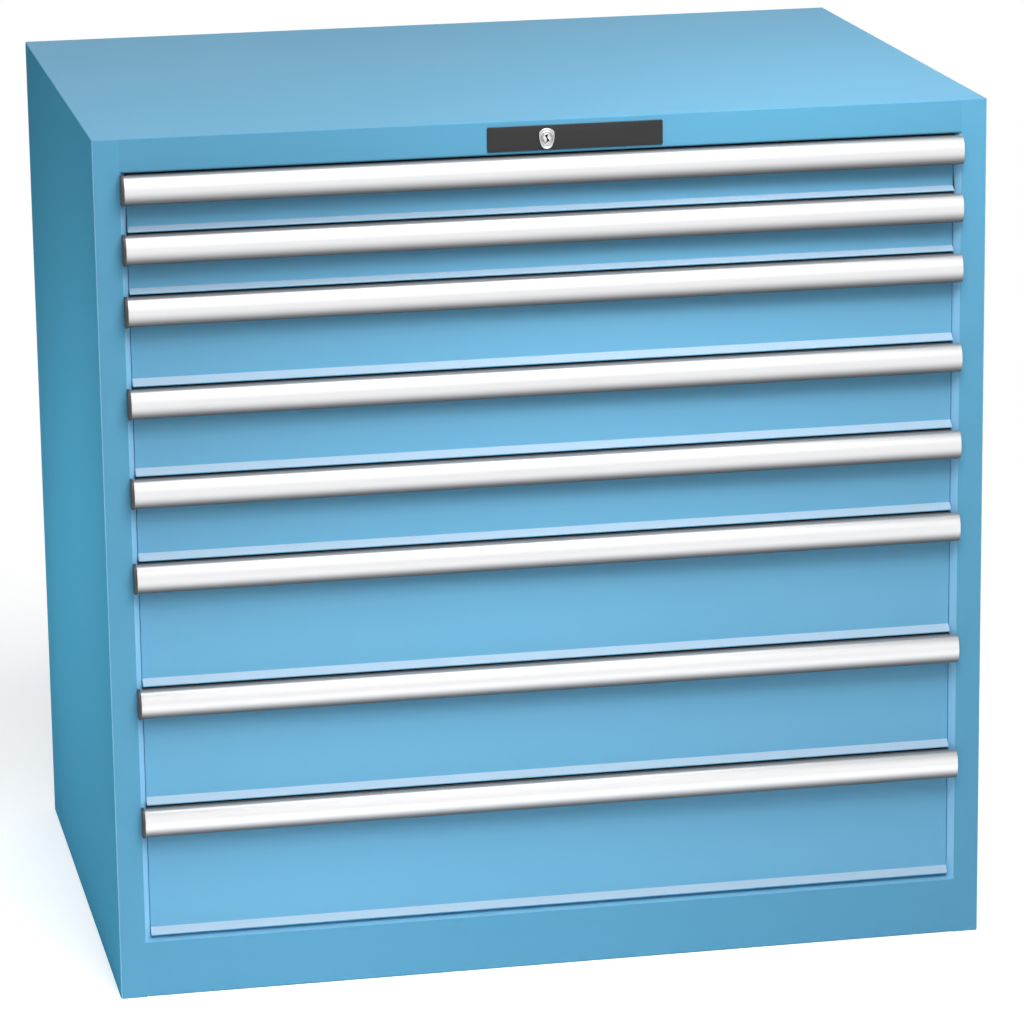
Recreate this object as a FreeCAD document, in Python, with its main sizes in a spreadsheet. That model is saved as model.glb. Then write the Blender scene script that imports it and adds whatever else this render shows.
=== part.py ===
import FreeCAD, Part
import math
import os
from types import SimpleNamespace

import Sketcher

# Modular drawer cabinet: a welded steel housing, eight drawers on telescopic runners, and a central
# lock whose linkage lifts one bar behind the right front post.
# Millimetres. X points right, Y points back, Z points up. The origin is the bottom centre of the
# whole cabinet, handles included.

# Driving sizes
SIZES = {
    # Housing
    "cabinet_width": 1023,
    "cabinet_depth": 725,
    "housing_sheet": 1.5,
    "post_width": 30,
    "plinth_height": 66,
    "lock_rail_height": 38.5,
    "lock_rail_flange": 20,
    "reveal_width": 6.5,
    "reveal_depth": 8,
    "reveal_return": 12,
    "bend_radius": 1,
    "edge_bevel": 0.8,
    "rear_flange": 20,
    "foot_flange": 25,
    "top_flange": 25,
    "base_height": 58,
    "base_flange": 15,
    # Drawer fronts from the top down: each pitch is a front and the gap above it
    "pitch_one": 67,
    "pitch_two": 70,
    "pitch_three": 105,
    "pitch_four": 103,
    "pitch_five": 98.5,
    "pitch_six": 147,
    "pitch_seven": 141,
    "pitch_eight": 156.5,
    "front_gap": 2,
    "side_gap": 1,
    "bottom_gap": 1,
    "front_sheet": 1.25,
    "front_depth": 16.5,
    "handle_seat": 12,
    "ledge_height": 8.5,
    "ledge_share": 12,
    "ledge_setback": 1,
    # Handles and their end caps
    "handle_clearance": 0.4,
    "handle_height": 32.5,
    "handle_depth": 14,
    "handle_wall": 2,
    "nose_radius": 28,
    "nose_drop": 17.5,
    "top_radius": 7,
    "lip_radius": 4,
    "cap_thickness": 3,
    "cap_overlap": 1,
    # Drawer boxes
    "drawer_inner_depth": 612,
    "drawer_sheet": 1,
    "box_lift": 4,
    "box_drop": 14,
    "catch_height": 43.5,
    "catch_tall": 7.5,
    "catch_reach": 12,
    # Telescopic runners
    "runner_space": 15,
    "runner_height": 20,
    "runner_setback": 6,
    "runner_sheet": 2,
    "web_gap": 1.5,
    "slide_gap": 0.3,
    "drawer_rail_sheet": 1.5,
    "drawer_rail_height": 22.4,
    "drawer_rail_reach": 10,
    "middle_flange": 8,
    "middle_length": 610,
    "cabinet_flange": 9,
    "cabinet_rail_length": 615,
    "roller_inset": 14,
    "roller_width": 8.5,
    "hook_wide": 3,
    "hook_tall": 16,
    "hook_drop": 4,
    "hook_sheet": 2,
    "hook_gap": 0.2,
    # Slotted uprights
    "upright_width": 35,
    "upright_front": 10,
    "upright_rear": 575,
    "upright_sheet": 2,
    # Lock
    "lock_shift": -1.5,
    "lock_drop": 20.3,
    "plate_shift": 31.5,
    "plate_width": 201,
    "plate_height": 27.6,
    "plate_sheet": 2,
    "plate_round": 1.5,
    "shield_sheet": 2.5,
    "shield_width": 16.8,
    "shield_shoulder": 6.9,
    "shield_crown_radius": 10.8,
    "shield_flank_radius": 26.7,
    "shield_foot": 8.8,
    "shield_foot_half": 6.3,
    "shield_foot_radius": 6.93,
    "barrel_radius": 7,
    "barrel_proud": 0.8,
    "plug_radius": 5,
    "plug_clearance": 0.05,
    "plug_proud": 0.5,
    "key_slot_wide": 1.6,
    "key_slot_tall": 7.8,
    "key_slot_step": 0.35,
    "key_slot_deep": 12,
    # Lock linkage
    "link_sheet": 2.5,
    "link_gap": 0.7,
    "link_wall": 3,
    "cam_arm": 6,
    "cam_turn": 90,
    "pin_radius": 2,
    "pin_play": 0.4,
    "pivot_radius": 2.5,
    "crank_rise": 2,
    "crank_drop": 18,
    "crank_reach": 17,
    "crank_inset": 5,
    "bar_width": 14,
    "bar_inset": 20,
    "lug_height": 6.5,
    "lug_reach": 20,
    "lug_gap": 1,
    "guide_play": 0.3,
    "guide_rise": 70,
    "rod_guide_near": 120,
    "rod_guide_far": 400,
}

doc = FreeCAD.newDocument("DrawerCabinet")
sheet = doc.addObject("Spreadsheet::Sheet", "Sizes")
for row, (alias, value) in enumerate(SIZES.items(), start=1):
    sheet.set(f"A{row}", alias.replace("_", " "))
    sheet.set(f"B{row}", str(value))
    sheet.setAlias(f"B{row}", alias)
doc.recompute()


class Length:
    """A length held as the text of a sheet expression, so that it stays bound to the sizes."""

    def __init__(self, text):
        self.text = str(text)

    def __add__(self, other):
        return Length(f"({self.text} + {text_of(other)})")

    def __sub__(self, other):
        return Length(f"({self.text} - {text_of(other)})")

    def __mul__(self, other):
        return Length(f"({self.text} * {text_of(other)})")

    def __truediv__(self, other):
        return Length(f"({self.text} / {text_of(other)})")

    def __neg__(self):
        return Length(f"(-1 * {self.text})")

    def __float__(self):
        result = sheet.evalExpression(self.text)
        return float(getattr(result, "Value", result))


def text_of(value):
    return value.text if isinstance(value, Length) else str(value)


def root(value):
    return Length(f"sqrt({value.text})")


def least(first, second):
    return Length(f"min({first.text}; {second.text})")


size = SimpleNamespace(**{alias: Length(f"Sizes.{alias}") for alias in SIZES})
ZERO = Length(0)

# Places that several pieces share, for the right half; the left half mirrors it
HALF_WIDTH = size.cabinet_width / 2
INNER_SIDE = HALF_WIDTH - size.housing_sheet
OPENING_SIDE = HALF_WIDTH - size.post_width
REVEAL_SIDE = OPENING_SIDE - size.reveal_width
FRONT_SIDE = REVEAL_SIDE - size.side_gap
HANDLE_PROUD = size.handle_clearance + size.handle_depth
BACK = (size.cabinet_depth + HANDLE_PROUD) / 2
FACE = BACK - size.cabinet_depth
RECESS = FACE + size.reveal_depth
FRONT_REAR = RECESS + size.front_depth
HANDLE_BACK = FACE - size.handle_clearance

PITCHES = [
    size.pitch_one, size.pitch_two, size.pitch_three, size.pitch_four,
    size.pitch_five, size.pitch_six, size.pitch_seven, size.pitch_eight,
]
STACK_BOTTOM = size.plinth_height + size.reveal_width + size.bottom_gap


def front_bottom(number):
    """Height of the lower edge of a drawer front; drawer 1 is the top one."""
    height = STACK_BOTTOM
    for pitch in PITCHES[number:]:
        height = height + pitch
    return height


OPENING_TOP = front_bottom(0)
HEIGHT = OPENING_TOP + size.lock_rail_height

BOX_SIDE = REVEAL_SIDE - size.runner_space
BOX_REAR = FRONT_REAR + size.drawer_inner_depth + size.drawer_sheet * 2
DRAWER_RAIL_HALF = size.drawer_rail_height / 2
MIDDLE_HALF = DRAWER_RAIL_HALF + size.slide_gap + size.runner_sheet
CABINET_RAIL_HALF = MIDDLE_HALF + size.slide_gap + size.runner_sheet
MIDDLE_WEB = BOX_SIDE + size.drawer_rail_reach + size.web_gap
CABINET_WEB = MIDDLE_WEB + size.runner_sheet + size.web_gap
UPRIGHT_FACE = CABINET_WEB + size.runner_sheet
RUNNER_FRONT = FRONT_REAR + size.runner_setback
HOOK_NECK_LOW = size.hook_tall / 2 - size.hook_drop

LOCK_HEIGHT = HEIGHT - size.lock_drop
PLATE_FACE = FACE - size.plate_sheet
SHIELD_FACE = PLATE_FACE - size.shield_sheet
BARREL_FACE = SHIELD_FACE - size.barrel_proud
# The lock linkage works in two planes behind the drawer fronts
NEAR_PLANE = FRONT_REAR + size.lug_gap
NEAR_PLANE_REAR = NEAR_PLANE + size.link_sheet
FAR_PLANE = NEAR_PLANE_REAR + size.link_gap
FAR_PLANE_REAR = FAR_PLANE + size.link_sheet
BAR_FACE = INNER_SIDE - size.bar_inset
BAR_BACK = BAR_FACE - size.link_sheet
CRANK_ACROSS = BAR_BACK - size.crank_inset - size.crank_reach
CRANK_HEIGHT = LOCK_HEIGHT + size.crank_rise
# At rest the lock is open: its pin stands half a turn of the cam to the left of straight up
CAM_SWING = Length(f"({size.cam_turn.text} / 2 * 1 deg)")
ROD_SHIFT = size.cam_arm * Length(f"sin({CAM_SWING.text})")
CAM_RISE = size.cam_arm * Length(f"cos({CAM_SWING.text})")
CRANK_SWING = Length(f"asin({(ROD_SHIFT / size.crank_drop).text})")
CRANK_SIDE = Length(f"cos({CRANK_SWING.text})")
BAR_SHIFT = size.crank_reach * ROD_SHIFT / size.crank_drop
PIN_SLOT = size.pin_radius + size.pin_play


# Outlines are runs of corners (across, up). A corner (across, up, radius, side) starts an arc to the next
# corner, with its centre on the left of the way (side 1) or on the right (side -1).

def direction(start, end):
    """The step from one corner to another along the axis it mostly follows."""
    across = float(end[0]) - float(start[0])
    up = float(end[1]) - float(start[1])
    if abs(across) > abs(up):
        return (1 if across > 0 else -1, 0)
    return (0, 1 if up > 0 else -1)


def shifted(corner, amount, way):
    """A corner moved by an amount along a way such as (1, 0) or (0, -1)."""
    moved = []
    for value, sign in zip(corner[:2], way):
        if sign == 0:
            moved.append(value)
        else:
            moved.append(value + amount if sign > 0 else value - amount)
    return tuple(moved)


def turn_side(first, second):
    return 1 if first[0] * second[1] - first[1] * second[0] > 0 else -1


def rounded(corner, before, after, radius):
    """The two corners that replace a square one by a quarter bend."""
    step_in = direction(before, corner)
    step_out = direction(corner, after)
    start = shifted(corner, radius, (-step_in[0], -step_in[1]))
    return [start + (radius, turn_side(step_in, step_out)), shifted(corner, radius, step_out)]


def bent(corners, radii):
    """An open run of square corners, bent at each inner one or folded sharply where it has no radius."""
    run = [corners[0]]
    for index in range(1, len(corners) - 1):
        radius = radii[index - 1]
        if radius is None:
            run.append(corners[index])
        else:
            run += rounded(corners[index], corners[index - 1], corners[index + 1], radius)
    return run + [corners[-1]]


def backwards(run):
    """A run travelled the other way."""
    result = []
    for index in range(len(run) - 1, -1, -1):
        arc = run[index - 1][2:] if index > 0 else ()
        result.append(run[index][:2] + ((arc[0], -arc[1]) if arc else ()))
    return result


def folded(corners, thickness, bend=None):
    """The outline of a sheet folded square along a run of corners, with its thickness on the left."""
    outer_bend = None if bend is None else bend + thickness
    steps = [direction(start, end) for start, end in zip(corners, corners[1:])]
    normals = [(-step[1], step[0]) for step in steps]
    far = [shifted(corners[0], thickness, normals[0])]
    near_radii = []
    far_radii = []
    for corner, first, second in zip(corners[1:-1], normals, normals[1:]):
        far.append(shifted(corner, thickness, (first[0] + second[0], first[1] + second[1])))
        left_turn = turn_side(first, second) > 0
        near_radii.append(outer_bend if left_turn else bend)
        far_radii.append(bend if left_turn else outer_bend)
    far.append(shifted(corners[-1], thickness, normals[-1]))
    return bent(corners, near_radii) + backwards(bent(far, far_radii))


def rectangle(left, right, low, high):
    return [(left, low), (right, low), (right, high), (left, high)]


def round_rectangle(left, right, low, high, radius):
    corners = rectangle(left, right, low, high)
    outline = []
    for index, corner in enumerate(corners):
        outline += rounded(corner, corners[index - 1], corners[(index + 1) % 4], radius)
    return outline


def bar_outline(start, end, radius):
    """A level or upright bar with bevelled ends, whose corners lie at the radius from its two centres."""
    way = direction(start, end)
    back = (-way[0], -way[1])
    left = (-way[1], way[0])
    right = (way[1], -way[0])
    eighth = math.pi / 8
    flat = radius * math.cos(eighth)
    bevel = radius * math.sin(eighth)
    return [
        shifted(shifted(end, flat, right), bevel, way),
        shifted(shifted(end, flat, way), bevel, right),
        shifted(shifted(end, flat, way), bevel, left),
        shifted(shifted(end, flat, left), bevel, way),
        shifted(shifted(start, flat, left), bevel, back),
        shifted(shifted(start, flat, back), bevel, left),
        shifted(shifted(start, flat, back), bevel, right),
        shifted(shifted(start, flat, right), bevel, back),
    ]


def mirrored(outline):
    """An outline reflected across the upright axis."""
    return [(-corner[0], corner[1]) + ((corner[2], -corner[3]) if corner[2:] else ()) for corner in outline]


def circle(across, up, radius):
    return (across, up, radius)


# Bodies and features

PLANE_ROLES = {"XY": "XY_Plane", "XZ": "XZ_Plane", "YZ": "YZ_Plane"}
FULL_TURN = 2 * math.pi
# An edge counts as lying on a face when it is this near
SNAP = 0.01


def new_body(label):
    body = doc.addObject("PartDesign::Body", label)
    body.Label = label
    return body


def place(item, across=ZERO, back=ZERO, up=ZERO):
    item.setExpression("Placement.Base.x", across.text)
    item.setExpression("Placement.Base.y", back.text)
    item.setExpression("Placement.Base.z", up.text)


def arc_between(start, end, radius, side):
    """The short arc from start to end with its centre on the given side."""
    chord = end - start
    rise = math.sqrt(max(radius ** 2 - chord.Length ** 2 / 4, 0))
    normal = FreeCAD.Vector(-chord.y, chord.x) * (side / chord.Length)
    centre = (start + end) * 0.5 + normal * rise
    ends = (start, end) if side > 0 else (end, start)
    first, last = [math.atan2(point.y - centre.y, point.x - centre.x) for point in ends]
    if last < first:
        last += FULL_TURN
    return Part.ArcOfCircle(Part.Circle(centre, FreeCAD.Vector(0, 0, 1), radius), first, last)


def draw(sketch, loop):
    """Adds one closed loop to a sketch, each corner and radius bound to its expression."""
    first = sketch.GeometryCount
    bound = []
    if isinstance(loop, tuple):
        across, up, radius = loop
        centre = FreeCAD.Vector(float(across), float(up))
        sketch.addGeometry(Part.Circle(centre, FreeCAD.Vector(0, 0, 1), float(radius)))
        bound.append((Sketcher.Constraint("DistanceX", -1, 1, first, 3, centre.x), across))
        bound.append((Sketcher.Constraint("DistanceY", -1, 1, first, 3, centre.y), up))
        bound.append((Sketcher.Constraint("Radius", first, float(radius)), radius))
    else:
        points = [FreeCAD.Vector(float(corner[0]), float(corner[1])) for corner in loop]
        ends = []
        for index, corner in enumerate(loop):
            start = points[index]
            end = points[(index + 1) % len(loop)]
            if corner[2:]:
                sketch.addGeometry(arc_between(start, end, float(corner[2]), corner[3]))
                ends.append((1, 2) if corner[3] > 0 else (2, 1))
            else:
                sketch.addGeometry(Part.LineSegment(start, end))
                ends.append((1, 2))
        for index, corner in enumerate(loop):
            line = first + index
            after = (index + 1) % len(loop)
            joint = Sketcher.Constraint("Coincident", line, ends[index][1], first + after, ends[after][0])
            bound.append((joint, None))
            point = points[index]
            begin = ends[index][0]
            bound.append((Sketcher.Constraint("DistanceX", -1, 1, line, begin, point.x), corner[0]))
            bound.append((Sketcher.Constraint("DistanceY", -1, 1, line, begin, point.y), corner[1]))
            if corner[2:]:
                bound.append((Sketcher.Constraint("Radius", line, float(corner[2])), corner[2]))
    for constraint, length in bound:
        number = sketch.addConstraint(constraint)
        if length is not None:
            sketch.setExpression(f"Constraints[{number}]", length.text)


def sketched(body, plane, loops, offset):
    """A sketch on one of the body's own planes, moved along that plane's normal."""
    sketch = body.newObject("Sketcher::SketchObject", body.Label + "_sketch")
    role = PLANE_ROLES[plane]
    support = [item for item in body.Origin.OriginFeatures if item.Role == role][0]
    sketch.AttachmentSupport = [(support, "")]
    sketch.MapMode = "FlatFace"
    sketch.setExpression("AttachmentOffset.Base.z", offset.text)
    for loop in loops:
        draw(sketch, loop)
    return sketch


def pad(body, plane, loops, low, high):
    """Adds the prism between two levels. The normal of the XZ plane points to the front, along -Y."""
    offset = -high if plane == "XZ" else low
    feature = body.newObject("PartDesign::Pad", body.Label + "_pad")
    feature.Profile = sketched(body, plane, loops, offset)
    feature.setExpression("Length", (high - low).text)
    body.Tip = feature
    return feature


def pocket(body, plane, loops, low, high):
    """Cuts the prism between two levels, and checks that it met the solid."""
    doc.recompute()
    before = body.Shape.Volume
    offset = -low if plane == "XZ" else high
    feature = body.newObject("PartDesign::Pocket", body.Label + "_pocket")
    feature.Profile = sketched(body, plane, loops, offset)
    feature.setExpression("Length", (high - low).text)
    body.Tip = feature
    doc.recompute()
    if body.Shape.Volume >= before:
        raise RuntimeError(f"a pocket in {body.Label} cuts nothing")
    return feature


def edges_where(body, wanted):
    """The tip of a body, and the names of its edges whose middle passes the test."""
    doc.recompute()
    names = []
    for index, edge in enumerate(body.Shape.Edges, start=1):
        middle = edge.valueAt((edge.FirstParameter + edge.LastParameter) / 2)
        if wanted(middle):
            names.append(f"Edge{index}")
    return (body.Tip, names)


def rounded_edges(body, wanted, radius):
    """A fillet on the edges whose middle passes the test."""
    found = edges_where(body, wanted)
    feature = body.newObject("PartDesign::Fillet", body.Label + "_round")
    feature.Base = found
    feature.setExpression("Radius", radius.text)
    body.Tip = feature


def broken_edges(body, wanted, width):
    """A small bevel on the edges whose middle passes the test."""
    found = edges_where(body, wanted)
    feature = body.newObject("PartDesign::Chamfer", body.Label + "_bevel")
    feature.Base = found
    feature.setExpression("Size", width.text)
    body.Tip = feature


def mirror(item, label):
    """The same piece on the other side of the cabinet."""
    copy = doc.addObject("Part::Mirroring", label)
    copy.Label = label
    copy.Source = item
    copy.Normal = FreeCAD.Vector(1, 0, 0)
    return copy


def group(items, label):
    """Several solids that make one node."""
    compound = doc.addObject("Part::Compound", label)
    compound.Label = label
    compound.Links = items
    return compound


nodes = []


def node(item):
    nodes.append(item)
    return item


# Housing

def side_panel():
    """A side wall folded at the back, into the front post, and on round the reveal of the opening."""
    body = new_body("side_panel_right")
    thin = size.housing_sheet
    outer = size.bend_radius + thin
    flange_end = HALF_WIDTH - size.rear_flange
    back_corner = (HALF_WIDTH, BACK)
    front_corner = (HALF_WIDTH, FACE)
    inner_back = (INNER_SIDE, BACK - thin)
    inner_front = (INNER_SIDE, FACE + thin)
    reveal_end = RECESS + size.reveal_return
    run = [(flange_end, BACK)]
    run += rounded(back_corner, run[0], front_corner, outer)
    run += rounded(front_corner, back_corner, (OPENING_SIDE, FACE), outer)
    run += [(OPENING_SIDE, FACE), (REVEAL_SIDE, RECESS), (REVEAL_SIDE, reveal_end)]
    run += [(REVEAL_SIDE + thin, reveal_end), (REVEAL_SIDE + thin, RECESS + thin / 3)]
    run += [(OPENING_SIDE + thin / 2, FACE + thin)]
    run += rounded(inner_front, (OPENING_SIDE, FACE + thin), inner_back, size.bend_radius)
    run += rounded(inner_back, inner_front, (flange_end, BACK - thin), size.bend_radius)
    run += [(flange_end, BACK - thin)]
    pad(body, "XY", [run], ZERO, HEIGHT)
    foot = rectangle(HALF_WIDTH - size.foot_flange, INNER_SIDE, FACE + thin, BACK - thin * 2)
    pad(body, "XY", [foot], ZERO, thin)
    # The reveal stops at the mitre above the plinth, and under the lock rail
    spare = size.reveal_width
    mitre_end = (REVEAL_SIDE - spare, size.plinth_height + size.reveal_width + spare)
    below = [(OPENING_SIDE, -spare), (OPENING_SIDE, size.plinth_height)]
    below += [mitre_end, (mitre_end[0], -spare)]
    above = rectangle(mitre_end[0], OPENING_SIDE, OPENING_TOP, HEIGHT + spare)
    pocket(body, "XZ", [below, above], FACE, reveal_end + spare)

    def on_top_edge(point):
        if abs(point.z - float(HEIGHT)) > SNAP:
            return False
        inset = min(float(HALF_WIDTH) - point.x, point.y - float(FACE), float(BACK) - point.y)
        return inset < float(thin - SNAP)

    broken_edges(body, on_top_edge, size.edge_bevel)
    node(body)
    node(mirror(body, "side_panel_left"))


def plinth_rail():
    """The rail under the opening: a foot flange, the front face, and the reveal with its mitred ends."""
    body = new_body("plinth_rail")
    thin = size.housing_sheet
    top = size.plinth_height
    reveal_top = top + size.reveal_width
    reveal_end = RECESS + size.reveal_return
    foot_end = FACE + size.foot_flange
    foot_corner = (FACE, ZERO)
    run = rounded(foot_corner, (foot_end, ZERO), (FACE, top), size.bend_radius + thin)
    run += [(FACE, top), (RECESS, reveal_top), (reveal_end, reveal_top)]
    run += [(reveal_end, reveal_top - thin), (RECESS + thin / 3, reveal_top - thin)]
    run += [(FACE + thin, top - thin / 2)]
    run += rounded((FACE + thin, thin), (FACE + thin, top), (foot_end, thin), size.bend_radius)
    run += [(foot_end, thin), (foot_end, ZERO)]
    pad(body, "YZ", [run], -OPENING_SIDE, OPENING_SIDE)
    spare = size.reveal_width
    mitre = [
        (OPENING_SIDE, top),
        (OPENING_SIDE + spare, top),
        (OPENING_SIDE + spare, reveal_top + spare),
        (REVEAL_SIDE - spare, reveal_top + spare),
    ]
    pocket(body, "XZ", [mitre], FACE, reveal_end + spare)
    pocket(body, "XZ", [mirrored(mitre)], FACE, reveal_end + spare)
    node(body)


def lock_rail():
    """The rail above the opening, folded back along its lower edge, with the hole for the lock."""
    body = new_body("lock_rail")
    thin = size.housing_sheet
    run = folded([(FACE, HEIGHT), (FACE, OPENING_TOP), (FACE + size.lock_rail_flange, OPENING_TOP)],
                 thin, size.bend_radius)
    pad(body, "YZ", [run], -OPENING_SIDE, OPENING_SIDE)
    hole = circle(size.lock_shift, LOCK_HEIGHT, size.barrel_radius)
    pocket(body, "XZ", [hole], FACE, FACE + thin)

    def on_top_edge(point):
        return abs(point.z - float(HEIGHT)) < SNAP and abs(point.y - float(FACE)) < SNAP

    broken_edges(body, on_top_edge, size.edge_bevel)
    node(body)


def sheets():
    """The top, base and back sheets that close the housing between its sides."""
    thin = size.housing_sheet

    def on_corner(point):
        ends = (FACE + thin, BACK - thin, BACK - thin * 2)
        at_end = min(abs(point.y - float(end)) for end in ends) < SNAP
        return at_end and abs(abs(point.x) - float(INNER_SIDE)) < SNAP

    top = new_body("top_panel")
    low = HEIGHT - size.top_flange
    run = folded([(INNER_SIDE, low), (INNER_SIDE, HEIGHT), (-INNER_SIDE, HEIGHT), (-INNER_SIDE, low)], thin)
    pad(top, "XZ", [run], FACE + thin, BACK - thin)
    # The corners follow the bends inside the side walls
    rounded_edges(top, on_corner, size.bend_radius)
    node(top)

    base = new_body("base_panel")
    high = size.base_height
    low = high - size.base_flange
    run = folded([(INNER_SIDE, low), (INNER_SIDE, high), (-INNER_SIDE, high), (-INNER_SIDE, low)], thin)
    pad(base, "XZ", [run], FACE + thin, BACK - thin * 2)
    rounded_edges(base, on_corner, size.bend_radius)
    node(base)

    back = new_body("back_panel")
    across = INNER_SIDE - thin
    pad(back, "XZ", [rectangle(-across, across, ZERO, HEIGHT - thin)], BACK - thin * 2, BACK - thin)
    node(back)


def uprights():
    """Four channels on the side walls, slotted where each runner hooks in."""
    pair = []
    for name, setback in (("front", size.upright_front), ("rear", size.upright_rear)):
        body = new_body(f"upright_{name}")
        near = FRONT_REAR + setback
        far = near + size.upright_width
        run = folded([(INNER_SIDE, far), (UPRIGHT_FACE, far), (UPRIGHT_FACE, near), (INNER_SIDE, near)],
                     size.upright_sheet, size.bend_radius)
        pad(body, "XY", [run], size.base_height, HEIGHT - size.top_flange)
        middle = near + size.upright_width / 2
        half = size.hook_wide / 2 + size.hook_gap
        slots = []
        for number in range(1, len(PITCHES) + 1):
            low = front_bottom(number) + size.runner_height - HOOK_NECK_LOW
            slots.append(rectangle(middle - half, middle + half, low, low + size.hook_tall + size.hook_gap))
        pocket(body, "YZ", slots, UPRIGHT_FACE, UPRIGHT_FACE + size.upright_sheet)
        pair.append(body)
    node(group(pair, "uprights_right"))
    node(group([mirror(body, body.Label + "_left") for body in pair], "uprights_left"))


# Runners

def channel(web, way, flange, thickness, half):
    """A channel's section about its own middle: an upright web, and flanges that point along way."""
    far = shifted((web, ZERO), thickness, (-way, 0))[0]
    tip = shifted((web, ZERO), flange, (way, 0))[0]
    inner = half - thickness
    lower = [(far, -half), (tip, -half), (tip, -inner), (web, -inner)]
    upper = [(web, inner), (tip, inner), (tip, half), (far, half)]
    return lower + upper


def cabinet_rails():
    """The fixed members, one on each side for each drawer, hooked into the uprights."""
    rails = []
    neck = UPRIGHT_FACE + size.upright_sheet + size.hook_gap
    hook_end = neck + size.hook_sheet
    neck_top = HOOK_NECK_LOW + size.hook_drop
    hook = [
        (CABINET_WEB, -HOOK_NECK_LOW),
        (neck, -HOOK_NECK_LOW),
        (neck, -HOOK_NECK_LOW - size.hook_drop),
        (hook_end, -HOOK_NECK_LOW - size.hook_drop),
        (hook_end, neck_top),
        (CABINET_WEB, neck_top),
    ]
    section = channel(CABINET_WEB, -1, size.cabinet_flange, size.runner_sheet, CABINET_RAIL_HALF)
    for number in range(1, len(PITCHES) + 1):
        body = new_body(f"cabinet_rail_{number}")
        pad(body, "XZ", [section], RUNNER_FRONT, RUNNER_FRONT + size.cabinet_rail_length)
        for setback in (size.upright_front, size.upright_rear):
            low = FRONT_REAR + setback + size.upright_width / 2 - size.hook_wide / 2
            pad(body, "XZ", [hook], low, low + size.hook_wide)
        place(body, up=front_bottom(number) + size.runner_height)
        rails.append(body)
    node(group(rails, "cabinet_rails_right"))
    node(group([mirror(body, body.Label + "_left") for body in rails], "cabinet_rails_left"))


def middle_rails(number):
    """The middle members of one drawer's runners, each with the roller that carries the drawer's rail."""
    up = front_bottom(number) + size.runner_height
    body = new_body(f"middle_rail_{number}")
    section = channel(MIDDLE_WEB, -1, size.middle_flange, size.runner_sheet, MIDDLE_HALF)
    pad(body, "XZ", [section], RUNNER_FRONT, RUNNER_FRONT + size.middle_length)
    place(body, up=up)
    roller = new_body(f"runner_roller_{number}")
    radius = DRAWER_RAIL_HALF - size.drawer_rail_sheet - size.slide_gap
    wheel = circle(RUNNER_FRONT + size.roller_inset, ZERO, radius)
    pad(roller, "YZ", [wheel], MIDDLE_WEB - size.roller_width, MIDDLE_WEB)
    place(roller, up=up)
    pieces = [body, roller]
    pieces += [mirror(item, item.Label + "_left") for item in (body, roller)]
    node(group(pieces, f"drawer_{number}_middle_rails"))


# Drawers

def drawer_box(number, pitch):
    """A folded tray with end walls, its runner members and the catch that the lock bar stops."""
    body = new_body(f"drawer_{number}_box")
    thin = size.drawer_sheet
    low = size.box_lift
    high = pitch - size.box_drop
    run = folded([(-BOX_SIDE, high), (-BOX_SIDE, low), (BOX_SIDE, low), (BOX_SIDE, high)], thin)
    pad(body, "XZ", [run], FRONT_REAR, BOX_REAR)
    inner = BOX_SIDE - thin
    wall = rectangle(-inner, inner, low + thin, high)
    pad(body, "XZ", [wall], FRONT_REAR, FRONT_REAR + thin)
    pad(body, "XZ", [wall], BOX_REAR - thin, BOX_REAR)
    centre = size.runner_height
    section = channel(BOX_SIDE + size.drawer_rail_sheet, 1, size.drawer_rail_reach - size.drawer_rail_sheet,
                      size.drawer_rail_sheet, DRAWER_RAIL_HALF)
    section = [(corner[0], corner[1] + centre) for corner in section]
    pad(body, "XZ", [section, mirrored(section)], FRONT_REAR, BOX_REAR)
    catch_front = NEAR_PLANE_REAR + size.lug_gap
    catch_top = size.catch_height + size.catch_tall
    catch = rectangle(BOX_SIDE, BOX_SIDE + size.catch_reach, size.catch_height, catch_top)
    pad(body, "XZ", [catch], catch_front, catch_front + size.link_sheet)
    place(body, up=front_bottom(number))
    node(body)


def drawer_front(number, pitch):
    """A front whose top steps out to carry the handle and whose foot kicks out as a sloped ledge."""
    body = new_body(f"drawer_{number}_front")
    thin = size.front_sheet
    top = pitch - size.front_gap
    seat = top - size.handle_seat
    ledge = least(size.ledge_height, pitch / size.ledge_share)
    lip = FACE + size.ledge_setback
    outside = [
        (FRONT_REAR, top),
        (HANDLE_BACK, top),
        (HANDLE_BACK, seat),
        (RECESS, seat),
        (RECESS, ledge),
        (lip, thin),
        (lip, ZERO),
        (FRONT_REAR, ZERO),
    ]
    inside = [
        (FRONT_REAR, thin),
        (lip + thin * 2, thin),
        (RECESS + thin, ledge + thin / 2),
        (RECESS + thin, seat + thin),
        (HANDLE_BACK + thin, seat + thin),
        (HANDLE_BACK + thin, top - thin),
        (FRONT_REAR, top - thin),
    ]
    pad(body, "YZ", [outside + inside], -FRONT_SIDE, FRONT_SIDE)
    # Cheeks close the two ends
    pad(body, "YZ", [outside], FRONT_SIDE - thin, FRONT_SIDE)
    pad(body, "YZ", [outside], -FRONT_SIDE, -FRONT_SIDE + thin)
    place(body, up=front_bottom(number))
    node(body)


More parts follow.
